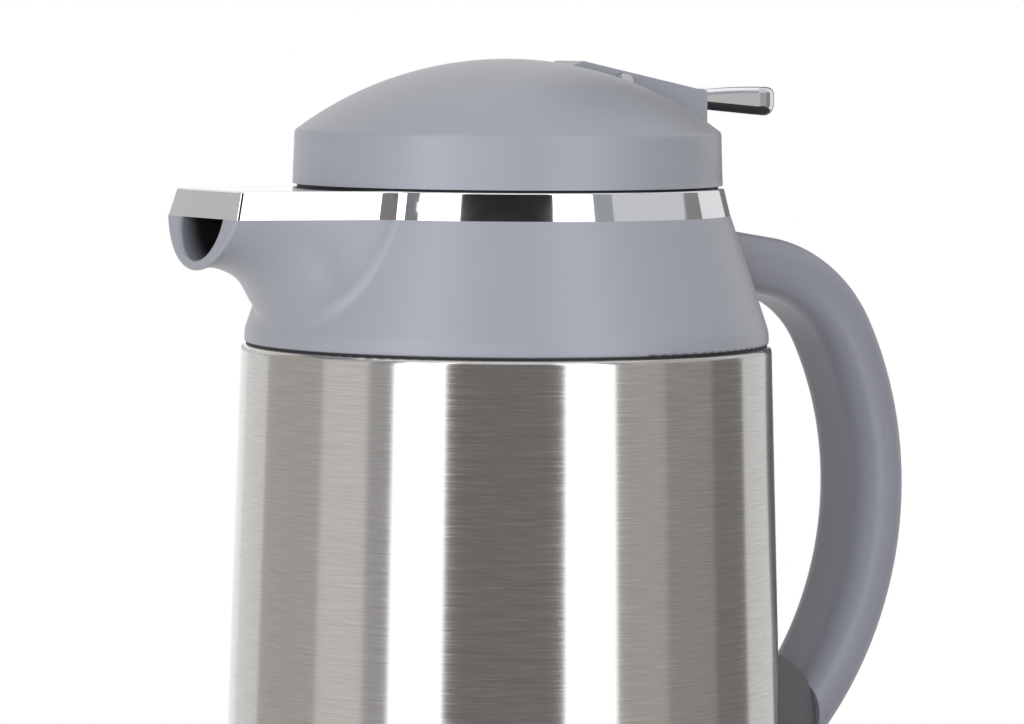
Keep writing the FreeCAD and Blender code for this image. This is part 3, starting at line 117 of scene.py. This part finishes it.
def add_node(tree: Tree, kind: str, settings: dict[str, Any] | None = None,
             values: dict[Any, Any] | None = None,
             links: dict[Any, Socket] | None = None) -> Node:
    """Adds a node with its settings and links.

    Args:
        tree: The tree that gets the node.
        kind: The node's type name.
        settings: Attributes of the node.
        values: Input values, by socket name or number.
        links: Sockets that feed the inputs, by socket name or number.

    Returns:
        The new node.
    """
    node = tree.nodes.new(kind)
    for name, value in (settings or {}).items():
        setattr(node, name, value)
    for name, value in (values or {}).items():
        node.inputs[name].default_value = value
    for name, socket in (links or {}).items():
        tree.links.new(socket, node.inputs[name])
    return node


def empty_tree(owner: Material | bpy.types.World) -> Tree:
    """Clears the nodes that come with a new material or world.

    Args:
        owner: The material or world.

    Returns:
        Its empty tree.
    """
    owner.use_nodes = True
    owner.node_tree.nodes.clear()
    return owner.node_tree


def new_material(name: str) -> tuple[Material, Tree, Node]:
    """Starts a material with a bare principled shader.

    Args:
        name: The material's name.

    Returns:
        The material, its tree and its shader.
    """
    material = bpy.data.materials.new(name)
    tree = empty_tree(material)
    shader = add_node(tree, "ShaderNodeBsdfPrincipled")
    add_node(tree, "ShaderNodeOutputMaterial", links={"Surface": shader.outputs["BSDF"]})
    return material, tree, shader


def show_through(tree: Tree, shader: Node, share: Socket) -> None:
    """Makes a material clear where a share is one.

    Args:
        tree: The material's tree.
        shader: Its shader.
        share: How clear it is, from none to one.
    """
    clear = add_node(tree, "ShaderNodeBsdfTransparent")
    both = add_node(tree, "ShaderNodeMixShader",
                    links={0: share, 1: shader.outputs["BSDF"], 2: clear.outputs["BSDF"]})
    out = next(node for node in tree.nodes if node.bl_idname == "ShaderNodeOutputMaterial")
    tree.links.new(both.outputs["Shader"], out.inputs["Surface"])


@dataclass(frozen=True)
class MouldedPlastic:
    """Plastic moulded in a spark-eroded tool: an even colour, a satin gloss, a fine dry grain."""

    name: str
    colour: str
    roughness: float = 0.34
    gloss_spread: float = 0.05
    grain_mm: float = 0.9
    grain_height_mm: float = 0.05
    grain_depth: float = 0.10
    cloud_mm: float = 45.0
    cloud_share: float = 0.05
    refraction: float = 1.49

    def material(self) -> Material:
        """Builds the finish.

        Returns:
            The material.
        """
        material, tree, shader = new_material(self.name)
        place = add_node(tree, "ShaderNodeTexCoord").outputs["Object"]
        colour = to_linear(self.colour)
        # Flow of the melt: a broad, barely visible drift of the colour.
        cloud = add_node(tree, "ShaderNodeTexNoise",
                         values={"Scale": 1 / (self.cloud_mm * MM), "Detail": 2.0},
                         links={"Vector": place})
        drift = add_node(tree, "ShaderNodeMix", {"data_type": "RGBA"},
                         {6: toned(colour, 1 - self.cloud_share),
                          7: toned(colour, 1 + self.cloud_share)},
                         {0: cloud.outputs["Fac"]})
        tree.links.new(self.shaded(tree, place, drift.outputs[2]), shader.inputs["Base Color"])
        # The tool's texture is about 0.1 mm; it is drawn coarser so that it shows.
        grain = add_node(tree, "ShaderNodeTexNoise",
                         values={"Scale": 1 / (self.grain_mm * MM), "Detail": 3.0,
                                 "Roughness": 0.6},
                         links={"Vector": place})
        gloss = add_node(tree, "ShaderNodeMapRange",
                         values={"To Min": self.roughness - self.gloss_spread,
                                 "To Max": self.roughness + self.gloss_spread},
                         links={"Value": grain.outputs["Fac"]})
        tree.links.new(gloss.outputs["Result"], shader.inputs["Roughness"])
        bump = add_node(tree, "ShaderNodeBump",
                        values={"Strength": self.grain_depth,
                                "Distance": self.grain_height_mm * MM},
                        links={"Height": grain.outputs["Fac"]})
        tree.links.new(bump.outputs["Normal"], shader.inputs["Normal"])
        shader.inputs["IOR"].default_value = self.refraction
        return material

    def shaded(self, tree: Tree, place: Socket, colour: Socket) -> Socket:
        """Leaves the colour as it is; a finish with painted shade in some place changes it there.

        Args:
            tree: The material's tree.
            place: Object coordinates.
            colour: The clean colour.

        Returns:
            The colour to use.
        """
        return colour


@dataclass(frozen=True)
class SpoutPlastic(MouldedPlastic):
    """The shoulder's plastic, with painted shade in the pouring channel behind the lip, where
    little light reaches.
    """

    channel_shade: str = "#191817"
    channel_level_mm: float = 200.1
    channel_radius_mm: float = 11.4
    edge_start_mm: float = 0.3
    edge_end_mm: float = 1.2
    shade_start_mm: float = -94.5
    shade_full_mm: float = -86.0

    def shaded(self, tree: Tree, place: Socket, colour: Socket) -> Socket:
        """Paints shade into the channel's inside, where little light reaches.

        Args:
            tree: The material's tree.
            place: Object coordinates.
            colour: The clean colour.

        Returns:
            The colour with the painted shade in it.
        """
        # Distance from the channel's middle line, which runs level along the X axis.
        across = add_node(tree, "ShaderNodeVectorMath", {"operation": "MULTIPLY_ADD"},
                          {1: (0, 1, 1), 2: (0, 0, -self.channel_level_mm * MM)}, {0: place})
        reach = add_node(tree, "ShaderNodeVectorMath", {"operation": "LENGTH"},
                         links={0: across.outputs["Vector"]})
        inside = add_node(tree, "ShaderNodeMapRange", {"interpolation_type": "SMOOTHSTEP"},
                          {"From Min": (self.channel_radius_mm + self.edge_start_mm) * MM,
                           "From Max": (self.channel_radius_mm + self.edge_end_mm) * MM,
                           "To Min": 1.0, "To Max": 0.0},
                          {"Value": reach.outputs["Value"]})
        along = add_node(tree, "ShaderNodeSeparateXYZ", links={0: place}).outputs["X"]
        depth = add_node(tree, "ShaderNodeMapRange", {"interpolation_type": "SMOOTHSTEP"},
                         {"From Min": self.shade_start_mm * MM,
                          "From Max": self.shade_full_mm * MM},
                         {"Value": along})
        front = add_node(tree, "ShaderNodeMath", {"operation": "LESS_THAN"}, {1: 0.0}, {0: along})
        share = inside.outputs["Result"]
        for limit in (depth.outputs["Result"], front.outputs[0]):
            share = add_node(tree, "ShaderNodeMath", {"operation": "MULTIPLY"},
                             links={0: share, 1: limit}).outputs[0]
        # Painted shade: the channel's inside is drawn near black where little light reaches it,
        # not stained.
        shaded_colour = add_node(tree, "ShaderNodeMix", {"data_type": "RGBA"},
                           {7: to_linear(self.channel_shade)}, {0: share, 6: colour})
        return shaded_colour.outputs[2]


@dataclass(frozen=True)
class BrushedStainless:
    """Stainless sheet drawn past an abrasive belt: level lines smear reflections up and down."""

    name: str
    colour: str
    roughness: float = 0.21
    smooth_drop: float = 0.03
    scratch: float = 0.045
    scratch_start: float = 0.5
    scratch_full: float = 0.72
    anisotropy: float = 0.95
    quarter_turn: float = 0.25
    line_mm: float = 0.28
    line_length_mm: float = 12.0
    line_height_mm: float = 0.02
    line_depth: float = 0.07
    line_tone: float = 0.30

    def material(self) -> Material:
        """Builds the finish.

        Returns:
            The material.
        """
        material, tree, shader = new_material(self.name)
        place = add_node(tree, "ShaderNodeTexCoord").outputs["Object"]
        # The belt's lines are about 0.1 mm apart; they are drawn coarser so that they show.
        length = 1 / (self.line_length_mm * MM)
        along = add_node(tree, "ShaderNodeMapping",
                         values={"Scale": (length, length, 1 / (self.line_mm * MM))},
                         links={"Vector": place})
        lines = add_node(tree, "ShaderNodeTexNoise",
                         values={"Scale": 1.0, "Detail": 4.0, "Roughness": 0.65},
                         links={"Vector": along.outputs["Vector"]})
        colour = to_linear(self.colour)
        tone = add_node(tree, "ShaderNodeMix", {"data_type": "RGBA"},
                        {6: toned(colour, 1 - self.line_tone),
                         7: toned(colour, 1 + self.line_tone)},
                        {0: lines.outputs["Fac"]})
        tree.links.new(tone.outputs[2], shader.inputs["Base Color"])
        # The deepest lines scatter more, so they catch the light beside each reflection.
        gloss = add_node(tree, "ShaderNodeMapRange",
                         values={"From Min": self.scratch_start, "From Max": self.scratch_full,
                                 "To Min": self.roughness - self.smooth_drop,
                                 "To Max": self.roughness + self.scratch},
                         links={"Value": lines.outputs["Fac"]})
        tree.links.new(gloss.outputs["Result"], shader.inputs["Roughness"])
        bump = add_node(tree, "ShaderNodeBump",
                        values={"Strength": self.line_depth,
                                "Distance": self.line_height_mm * MM},
                        links={"Height": lines.outputs["Fac"]})
        tree.links.new(bump.outputs["Normal"], shader.inputs["Normal"])
        shader.inputs["Metallic"].default_value = 1.0
        shader.inputs["Anisotropic"].default_value = self.anisotropy
        # The tangent runs round the jacket with the lines; a quarter turn smears across them.
        shader.inputs["Anisotropic Rotation"].default_value = self.quarter_turn
        tangent = add_node(tree, "ShaderNodeTangent", {"direction_type": "RADIAL", "axis": "Z"})
        tree.links.new(tangent.outputs["Tangent"], shader.inputs["Tangent"])
        return material


@dataclass(frozen=True)
class BrightPlate:
    """Polished metal: a clear or a hazy mirror with the slow waviness of what lies under it."""

    name: str
    colour: str
    roughness: float = 0.05
    haze_spread: float = 0.4
    wave_mm: float = 9.0
    wave_height_mm: float = 0.1
    wave_depth: float = 0.04

    def material(self) -> Material:
        """Builds the finish.

        Returns:
            The material.
        """
        material, tree, shader = new_material(self.name)
        place = add_node(tree, "ShaderNodeTexCoord").outputs["Object"]
        wave = add_node(tree, "ShaderNodeTexNoise",
                        values={"Scale": 1 / (self.wave_mm * MM), "Detail": 1.0},
                        links={"Vector": place})
        haze = add_node(tree, "ShaderNodeMapRange",
                        values={"To Min": self.roughness * (1 - self.haze_spread),
                                "To Max": self.roughness * (1 + self.haze_spread)},
                        links={"Value": wave.outputs["Fac"]})
        tree.links.new(haze.outputs["Result"], shader.inputs["Roughness"])
        bump = add_node(tree, "ShaderNodeBump",
                        values={"Strength": self.wave_depth,
                                "Distance": self.wave_height_mm * MM},
                        links={"Height": wave.outputs["Fac"]})
        tree.links.new(bump.outputs["Normal"], shader.inputs["Normal"])
        shader.inputs["Base Color"].default_value = to_linear(self.colour)
        shader.inputs["Metallic"].default_value = 1.0
        return material


@dataclass(frozen=True)
class SiliconeRubber:
    """Pressed silicone rubber: near black, soft in gloss, with a little dust on it."""

    name: str
    colour: str
    roughness: float = 0.6
    gloss_spread: float = 0.08
    dust_mm: float = 1.5
    dust_gain: float = 1.6
    refraction: float = 1.41

    def material(self) -> Material:
        """Builds the finish.

        Returns:
            The material.
        """
        material, tree, shader = new_material(self.name)
        place = add_node(tree, "ShaderNodeTexCoord").outputs["Object"]
        dust = add_node(tree, "ShaderNodeTexNoise",
                        values={"Scale": 1 / (self.dust_mm * MM), "Detail": 4.0},
                        links={"Vector": place})
        colour = to_linear(self.colour)
        tone = add_node(tree, "ShaderNodeMix", {"data_type": "RGBA"},
                        {6: colour, 7: toned(colour, self.dust_gain)},
                        {0: dust.outputs["Fac"]})
        tree.links.new(tone.outputs[2], shader.inputs["Base Color"])
        gloss = add_node(tree, "ShaderNodeMapRange",
                         values={"To Min": self.roughness - self.gloss_spread,
                                 "To Max": self.roughness + self.gloss_spread},
                         links={"Value": dust.outputs["Fac"]})
        tree.links.new(gloss.outputs["Result"], shader.inputs["Roughness"])
        shader.inputs["IOR"].default_value = self.refraction
        return material


class Finishes:
    """Every finish of the carafe, built once."""

    def __init__(self) -> None:
        """Builds the materials."""
        self.jacket = BrushedStainless("stainless_brushed", "#c9c7c4").material()
        self.plate = BrightPlate("abs_chrome_plated", "#eceef1").material()
        self.steel = BrightPlate("steel_drawn", "#b4b4b6", roughness=0.28, wave_mm=1.2,
                                 wave_depth=0.1).material()
        self.grey = MouldedPlastic("polypropylene_moulded_grey", "#96989f").material()
        self.spout = SpoutPlastic("polypropylene_moulded_spout", "#96989f").material()
        self.grip = MouldedPlastic("polypropylene_moulded_grip", "#878890",
                                   roughness=0.38).material()
        # The dark moulding is the own colour of the base, plug and stopper, and painted shade on
        # the handle's bracket.
        self.dark = MouldedPlastic("polypropylene_moulded_dark_and_shade", "#555558",
                                   roughness=0.5).material()
        self.white = MouldedPlastic("acetal_moulded_natural", "#e4e1d8",
                                    roughness=0.35).material()
        self.rubber = SiliconeRubber("silicone_pressed_black", "#1d1d1f").material()
        self.glass = BrightPlate("glass_silvered", "#e2e2dd", roughness=0.07, wave_mm=22.0,
                                 wave_depth=0.12).material()


def dress(coats: dict[str, Material]) -> None:
    """Gives CAD nodes their finishes.

    Args:
        coats: The finish of each node, by the node's name.
    """
    for node, material in coats.items():
        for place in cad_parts[node].material_slots:
            place.material = material
        log.info("dressed %s with %s", node, material.name)


def finish_mesh(mesh: bmesh.types.BMesh, name: str, smooth: bool = True) -> Thing:
    """Turns a bmesh into an object at the origin.

    Args:
        mesh: The bmesh, which is freed.
        name: The object's name.
        smooth: Whether its faces are shaded smooth.

    Returns:
        The object.
    """
    data = bpy.data.meshes.new(name)
    for face in mesh.faces:
        face.smooth = smooth
    mesh.to_mesh(data)
    mesh.free()
    made = bpy.data.objects.new(name, data)
    bpy.context.scene.collection.objects.link(made)
    log.info("built %s", name)
    return made


def only_reflect(made: Thing) -> None:
    """Hides a studio piece from all but reflections.

    Args:
        made: The piece.
    """
    made.visible_camera = False
    made.visible_diffuse = False
    made.visible_shadow = False


@dataclass(frozen=True)
class ThreadRib:
    """A moulded screw thread: one blunt rib about the jug's axis, its root let into the wall."""

    name: str
    body: Body
    slot: Slot
    root_mm: float
    crest_mm: float
    foot_mm: float
    climb_mm: float
    turns: float
    width_mm: float = 1.8
    crest_start: float = 0.3
    crest_end: float = 0.7
    steps_per_turn: int = 96

    def build(self, material: Material) -> None:
        """Winds the rib, which rides on its body.

        Args:
            material: The finish of the wall that carries it.
        """
        mesh = bmesh.new()
        outline = [(self.root_mm, 0.0), (self.crest_mm, self.crest_start),
                   (self.crest_mm, self.crest_end), (self.root_mm, 1.0)]
        corners = [mesh.verts.new((radius * MM, 0, (self.foot_mm + share * self.width_mm) * MM))
                   for radius, share in outline]
        section = mesh.faces.new(corners)
        steps = round(self.turns * self.steps_per_turn)
        bmesh.ops.spin(mesh, geom=[section, *section.edges, *corners], cent=ORIGIN, axis=UP,
                       dvec=(0, 0, self.climb_mm * MM / steps), angle=math.tau * self.turns,
                       steps=steps)
        bmesh.ops.recalc_face_normals(mesh, faces=mesh.faces[:])
        rib = finish_mesh(mesh, self.name, smooth=False)
        rib.data.materials.append(material)
        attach(rib, self.body.value)


@dataclass(frozen=True)
class CoilSpring:
    """A closing spring: one round wire about the jug's axis."""

    name: str = "closing_spring"
    node: str = "valve_spring"
    joint: str = "lever_press"
    coil_mm: float = 5.0
    wire_mm: float = 0.9
    turns: int = 5
    stroke_mm: float = 4.53
    sides: int = 12
    steps_per_turn: int = 64

    def build(self, material: Material) -> None:
        """Winds the wire between the two ends of the frame's spring; it rides on the lid.

        Args:
            material: The wire's finish.
        """
        low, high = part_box(self.node)
        free = high[2] - low[2]
        wire = self.wire_mm * MM
        steps = self.turns * self.steps_per_turn
        mesh = bmesh.new()
        bmesh.ops.create_circle(mesh, cap_ends=True, segments=self.sides, radius=wire / 2)
        bmesh.ops.rotate(mesh, verts=mesh.verts[:], matrix=Matrix.Rotation(math.pi / 2, 3, "X"))
        bmesh.ops.translate(mesh, verts=mesh.verts[:],
                            vec=(self.coil_mm * MM, 0, low[2] + wire / 2))
        bmesh.ops.spin(mesh, geom=[*mesh.verts, *mesh.edges, *mesh.faces], cent=ORIGIN, axis=UP,
                       dvec=(0, 0, (free - wire) / steps), angle=math.tau * self.turns,
                       steps=steps)
        bmesh.ops.recalc_face_normals(mesh, faces=mesh.faces[:])
        coil = finish_mesh(mesh, self.name)
        coil.data.materials.append(material)
        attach(coil, Body.LID.value)
        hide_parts(self.node)
        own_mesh(coil)


@dataclass(frozen=True)
class Panel:
    """A tall curved sheet that only reflections see: degrees from the camera's side, metres."""

    name: str
    start: float
    end: float
    glow: float
    colour: str = WHITE
    radius: float = 2.2
    foot: float = -1.6
    head: float = 3.2
    steps: int = 24

    def build(self, azimuth: float) -> None:
        """Sweeps the sheet round the object.

        Args:
            azimuth: The camera's azimuth in degrees.
        """
        mesh = bmesh.new()
        start = math.radians(azimuth + self.start - 90)
        side = Vector((math.cos(start), math.sin(start), 0)) * self.radius
        ends = [mesh.verts.new(side + Vector((0, 0, level))) for level in (self.foot, self.head)]
        edge = mesh.edges.new(ends)
        bmesh.ops.spin(mesh, geom=[*ends, edge], cent=ORIGIN, axis=UP,
                       angle=math.radians(self.end - self.start), steps=self.steps)
        panel = finish_mesh(mesh, self.name)
        material = bpy.data.materials.new(self.name + "_glow")
        tree = empty_tree(material)
        glow = add_node(tree, "ShaderNodeEmission",
                        values={"Color": to_linear(self.colour), "Strength": self.glow})
        add_node(tree, "ShaderNodeOutputMaterial", links={"Surface": glow.outputs["Emission"]})
        panel.data.materials.append(material)
        only_reflect(panel)


@dataclass(frozen=True)
class Lamp:
    """A soft lamp: degrees from the camera's side, metres and watts."""

    name: str
    angle: float
    height: float
    reach: float
    size: tuple[float, float]
    power: float
    colour: str = WHITE


@dataclass
class Studio:
    """Camera, lamps, reflecting sheets, floor and white surround, in degrees and metres."""

    azimuth: float = -30.8
    distance: float = 1.40
    eye_height: float = 0.250
    aim_height: float = 0.1605
    aim_right: float = 0.0015
    focal_px: float = 5263.0
    roll: float = 0.4
    frame_px: int = 1024
    sensor_mm: float = 36.0
    sight: float = 50.0
    lamp_aim: float = 0.15
    ambient: float = 0.40
    matt: float = 0.9
    floor_colour: str = "#f4f4f2"
    floor_reach: float = 0.44
    floor_sides: int = 96
    fade_start: float = 0.45
    fade_end: float = 0.98
    # Painted shade: the card is seen only in the thumb tab's underside, in place of the shaded
    # parts beneath it.
    tab_shade_card_colour: str = "#2b2b2c"
    card_half: float = 0.032
    card_place: tuple[float, float, float] = (0.096, -0.012, 0.2085)
    panels: list[Panel] = field(default_factory=lambda: [
        Panel("sheet_front_low", -25.0, 24.6, 0.23, "#fff7f5", head=1.2),
        Panel("sheet_front_high", -25.0, 24.6, 0.022, foot=1.2, head=1.9),
        Panel("sheet_left_box", -48.4, -25.0, 2.3),
        Panel("sheet_left_gap", -60.0, -48.4, 0.52, "#f6f5f6", head=SHEET_SPLIT),
        Panel("sheet_left_gap_high", -60.0, -48.4, 0.24, COOL_WHITE, foot=SHEET_SPLIT),
        Panel("sheet_left_bounce", -84.0, -60.0, 0.88, WARM_WHITE, head=SHEET_SPLIT),
        Panel("sheet_left_bounce_high", -84.0, -60.0, 0.66, "#f4f5f7", foot=SHEET_SPLIT),
        Panel("sheet_left_wall", -123.0, -84.0, 0.59, WARM_WHITE),
        Panel("sheet_left_back", -150.0, -123.0, 0.86),
        Panel("sheet_right_box", 24.6, 46.9, 2.3),
        Panel("sheet_right_wall", 46.9, 71.0, 0.57, WARM_WHITE, head=SHEET_SPLIT),
        Panel("sheet_right_side", 71.0, 98.0, 0.41, WARM_WHITE, head=SHEET_SPLIT),
        Panel("sheet_right_far", 98.0, 121.0, 0.27, WARM_WHITE, head=SHEET_SPLIT),
        Panel("sheet_right_gap_high", 46.9, 58.0, 0.40, COOL_WHITE, foot=SHEET_SPLIT),
        Panel("sheet_right_high", 58.0, 121.0, 0.68, "#f4f4f6", foot=SHEET_SPLIT),
        Panel("sheet_right_back", 121.0, 152.0, 0.80),
        Panel("sheet_right_rear", 152.0, 172.0, 0.20),
    ])
    lamps: list[Lamp] = field(default_factory=lambda: [
        Lamp("lamp_top", 160.0, 1.5, 0.35, (1.4, 1.4), 4.0),
        Lamp("lamp_left", -44.0, 0.40, 1.5, (0.5, 1.2), 9.0),
        Lamp("lamp_right", 55.0, 0.55, 1.5, (0.5, 1.2), 4.6),
        Lamp("lamp_front", -6.0, 0.32, 1.7, (0.9, 0.6), 11.8, "#eef2ff"),
        Lamp("lamp_high", 100.0, 0.90, 0.9, (0.5, 0.5), 2.0),
    ])

    def build_camera(self) -> None:
        """Stands the camera at the photograph's viewing angle."""
        turn = math.radians(self.azimuth)
        right = Vector((math.cos(turn), math.sin(turn), 0))
        away = Vector((math.sin(turn), -math.cos(turn), 0))
        aim = right * self.aim_right + Vector((0, 0, self.aim_height))
        rise = Vector((0, 0, self.eye_height - self.aim_height))
        stand = aim + away * self.distance + rise
        data = bpy.data.cameras.new("camera")
        data.sensor_width = self.sensor_mm
        data.lens = self.focal_px * self.sensor_mm / self.frame_px
        data.clip_end = self.sight
        camera = bpy.data.objects.new("camera", data)
        bpy.context.scene.collection.objects.link(camera)
        look = (stand - aim).to_track_quat("Z", "Y")
        camera.matrix_world = (Matrix.Translation(stand) @ look.to_matrix().to_4x4()
                               @ Matrix.Rotation(math.radians(self.roll), 4, "Z"))
        bpy.context.scene.camera = camera

    def build_lamp(self, lamp: Lamp) -> None:
        """Hangs a soft lamp that faces the carafe and doesn't show in reflections.

        Args:
            lamp: Where it hangs, its size and its light.
        """
        data = bpy.data.lights.new(lamp.name, "AREA")
        data.shape = "RECTANGLE"
        data.size, data.size_y = lamp.size
        data.energy = lamp.power
        data.color = to_linear(lamp.colour)[:3]
        hung = bpy.data.objects.new(lamp.name, data)
        bpy.context.scene.collection.objects.link(hung)
        turn = math.radians(self.azimuth + lamp.angle)
        hung.location = (math.sin(turn) * lamp.reach, -math.cos(turn) * lamp.reach, lamp.height)
        facing = (hung.location - Vector((0, 0, self.lamp_aim))).to_track_quat("Z", "Y")
        hung.rotation_euler = facing.to_euler()
        hung.visible_glossy = False

    def build_world(self) -> None:
        """Makes the surround white to the eye and in reflections, and a softer light elsewhere."""
        world = bpy.data.worlds.new("surround")
        bpy.context.scene.world = world
        tree = empty_tree(world)
        rays = add_node(tree, "ShaderNodeLightPath")
        seen = rays.outputs["Is Camera Ray"]
        for kind in ("Is Glossy Ray", "Is Transmission Ray"):
            seen = add_node(tree, "ShaderNodeMath", {"operation": "MAXIMUM"},
                            links={0: seen, 1: rays.outputs[kind]}).outputs[0]
        level = add_node(tree, "ShaderNodeMapRange",
                         values={"To Min": self.ambient, "To Max": 1.0}, links={"Value": seen})
        light = add_node(tree, "ShaderNodeBackground", values={"Color": to_linear(WHITE)},
                         links={"Strength": level.outputs["Result"]})
        add_node(tree, "ShaderNodeOutputWorld", links={"Surface": light.outputs["Background"]})

    def build_floor(self) -> None:
        """Lays a pale floor that carries the shadow and fades out round the carafe."""
        mesh = bmesh.new()
        bmesh.ops.create_circle(mesh, cap_ends=True, segments=self.floor_sides,
                                radius=self.floor_reach)
        floor = finish_mesh(mesh, "floor", smooth=False)
        material, tree, shader = new_material("floor_paper_pale")
        shader.inputs["Base Color"].default_value = to_linear(self.floor_colour)
        shader.inputs["Roughness"].default_value = self.matt
        place = add_node(tree, "ShaderNodeTexCoord").outputs["Object"]
        reach = add_node(tree, "ShaderNodeVectorMath", {"operation": "LENGTH"}, links={0: place})
        fade = add_node(tree, "ShaderNodeMapRange", {"interpolation_type": "SMOOTHSTEP"},
                        {"From Min": self.floor_reach * self.fade_start,
                         "From Max": self.floor_reach * self.fade_end},
                        {"Value": reach.outputs["Value"]})
        show_through(tree, shader, fade.outputs["Result"])
        floor.data.materials.append(material)
        floor.visible_glossy = False

    def build_tab_card(self) -> None:
        """Hangs a dark card under the thumb tab, for reflections only and clear from below: a
        painted reflection of the shade beneath the tab.
        """
        mesh = bmesh.new()
        bmesh.ops.create_grid(mesh, x_segments=1, y_segments=1, size=self.card_half)
        bmesh.ops.translate(mesh, verts=mesh.verts[:], vec=self.card_place)
        card = finish_mesh(mesh, "card_thumb_tab", smooth=False)
        material, tree, shader = new_material("card_matt_black")
        shader.inputs["Base Color"].default_value = to_linear(self.tab_shade_card_colour)
        shader.inputs["Roughness"].default_value = self.matt
        below = add_node(tree, "ShaderNodeNewGeometry").outputs["Backfacing"]
        show_through(tree, shader, below)
        card.data.materials.append(material)
        only_reflect(card)

    def build(self) -> None:
        """Builds the whole studio."""
        bpy.context.scene.view_settings.view_transform = "Standard"
        self.build_camera()
        self.build_world()
        self.build_floor()
        self.build_tab_card()
        for panel in self.panels:
            panel.build(self.azimuth)
        for lamp in self.lamps:
            self.build_lamp(lamp)


@dataclass
class Jug:
    """Everything that stays on the table: jacket, shoulder, collar, handle, foot and flask."""

    finishes: Finishes
    thread: ThreadRib = ThreadRib("neck_thread", Body.JUG, Slot.GREY, root_mm=32.15,
                                  crest_mm=30.9, foot_mm=182.4, climb_mm=3.4, turns=1.35)

    def dress(self) -> None:
        """Gives each node its finish."""
        f = self.finishes
        dress({
            "outer_shell": f.jacket, "shell_gasket": f.rubber, "shoulder": f.spout,
            # The handle's bracket takes the dark moulding as painted shade: it is the handle's
            # grey plastic, drawn darker where it sits in shadow.
            "pour_collar": f.plate, "handle": f.grip, "handle_bracket": f.dark,
            "handle_screws": f.steel, "base_ring": f.dark, "base_plug": f.dark,
            "liner_cushion": f.rubber, "outer_flask": f.glass, "inner_flask": f.glass,
            "flask_pads": f.rubber, "neck_gasket": f.rubber,
        })

    def build(self) -> None:
        """Adds the thread that the stopper turns into."""
        self.thread.build(self.finishes.grey)


@dataclass
class Lid:
    """The lid with its stopper, seals, screws and lever pin."""

    finishes: Finishes
    thread: ThreadRib = ThreadRib("stopper_thread", Body.LID, Slot.DARK, root_mm=29.3,
                                  crest_mm=30.55, foot_mm=182.4, climb_mm=3.4, turns=1.35)

    def dress(self) -> None:
        """Gives each node its finish."""
        f = self.finishes
        dress({
            "lid_cap": f.grey, "stopper_plug": f.dark, "stopper_seal": f.rubber,
            "basin_seal": f.rubber, "rim_seal": f.rubber, "lid_screws": f.steel,
            "lever_pin": f.plate, "valve_spring": f.steel,
        })

    def build(self) -> None:
        """Adds the stopper's thread."""
        self.thread.build(self.finishes.dark)


@dataclass
class PourValve:
    """The lever, the valve that it lifts and the spring that closes it."""

    finishes: Finishes
    spring: CoilSpring = CoilSpring()

    def dress(self) -> None:
        """Gives each node its finish."""
        f = self.finishes
        dress({
            "lever_arm": f.grey, "thumb_plate": f.plate, "valve_rod": f.white,
            "valve_disc": f.white, "valve_seal": f.rubber, "lift_collar": f.white,
        })

    def build(self) -> None:
        """Adds the spring that closes the valve."""
        self.spring.build(self.finishes.steel)


def main() -> None:
    """Builds the finishes, the pieces and the studio."""
    logging.basicConfig(level=logging.INFO)
    finishes = Finishes()
    for part in (Jug(finishes), Lid(finishes), PourValve(finishes)):
        part.dress()
        part.build()
    Studio().build()


if __name__ == "__main__":
    main()
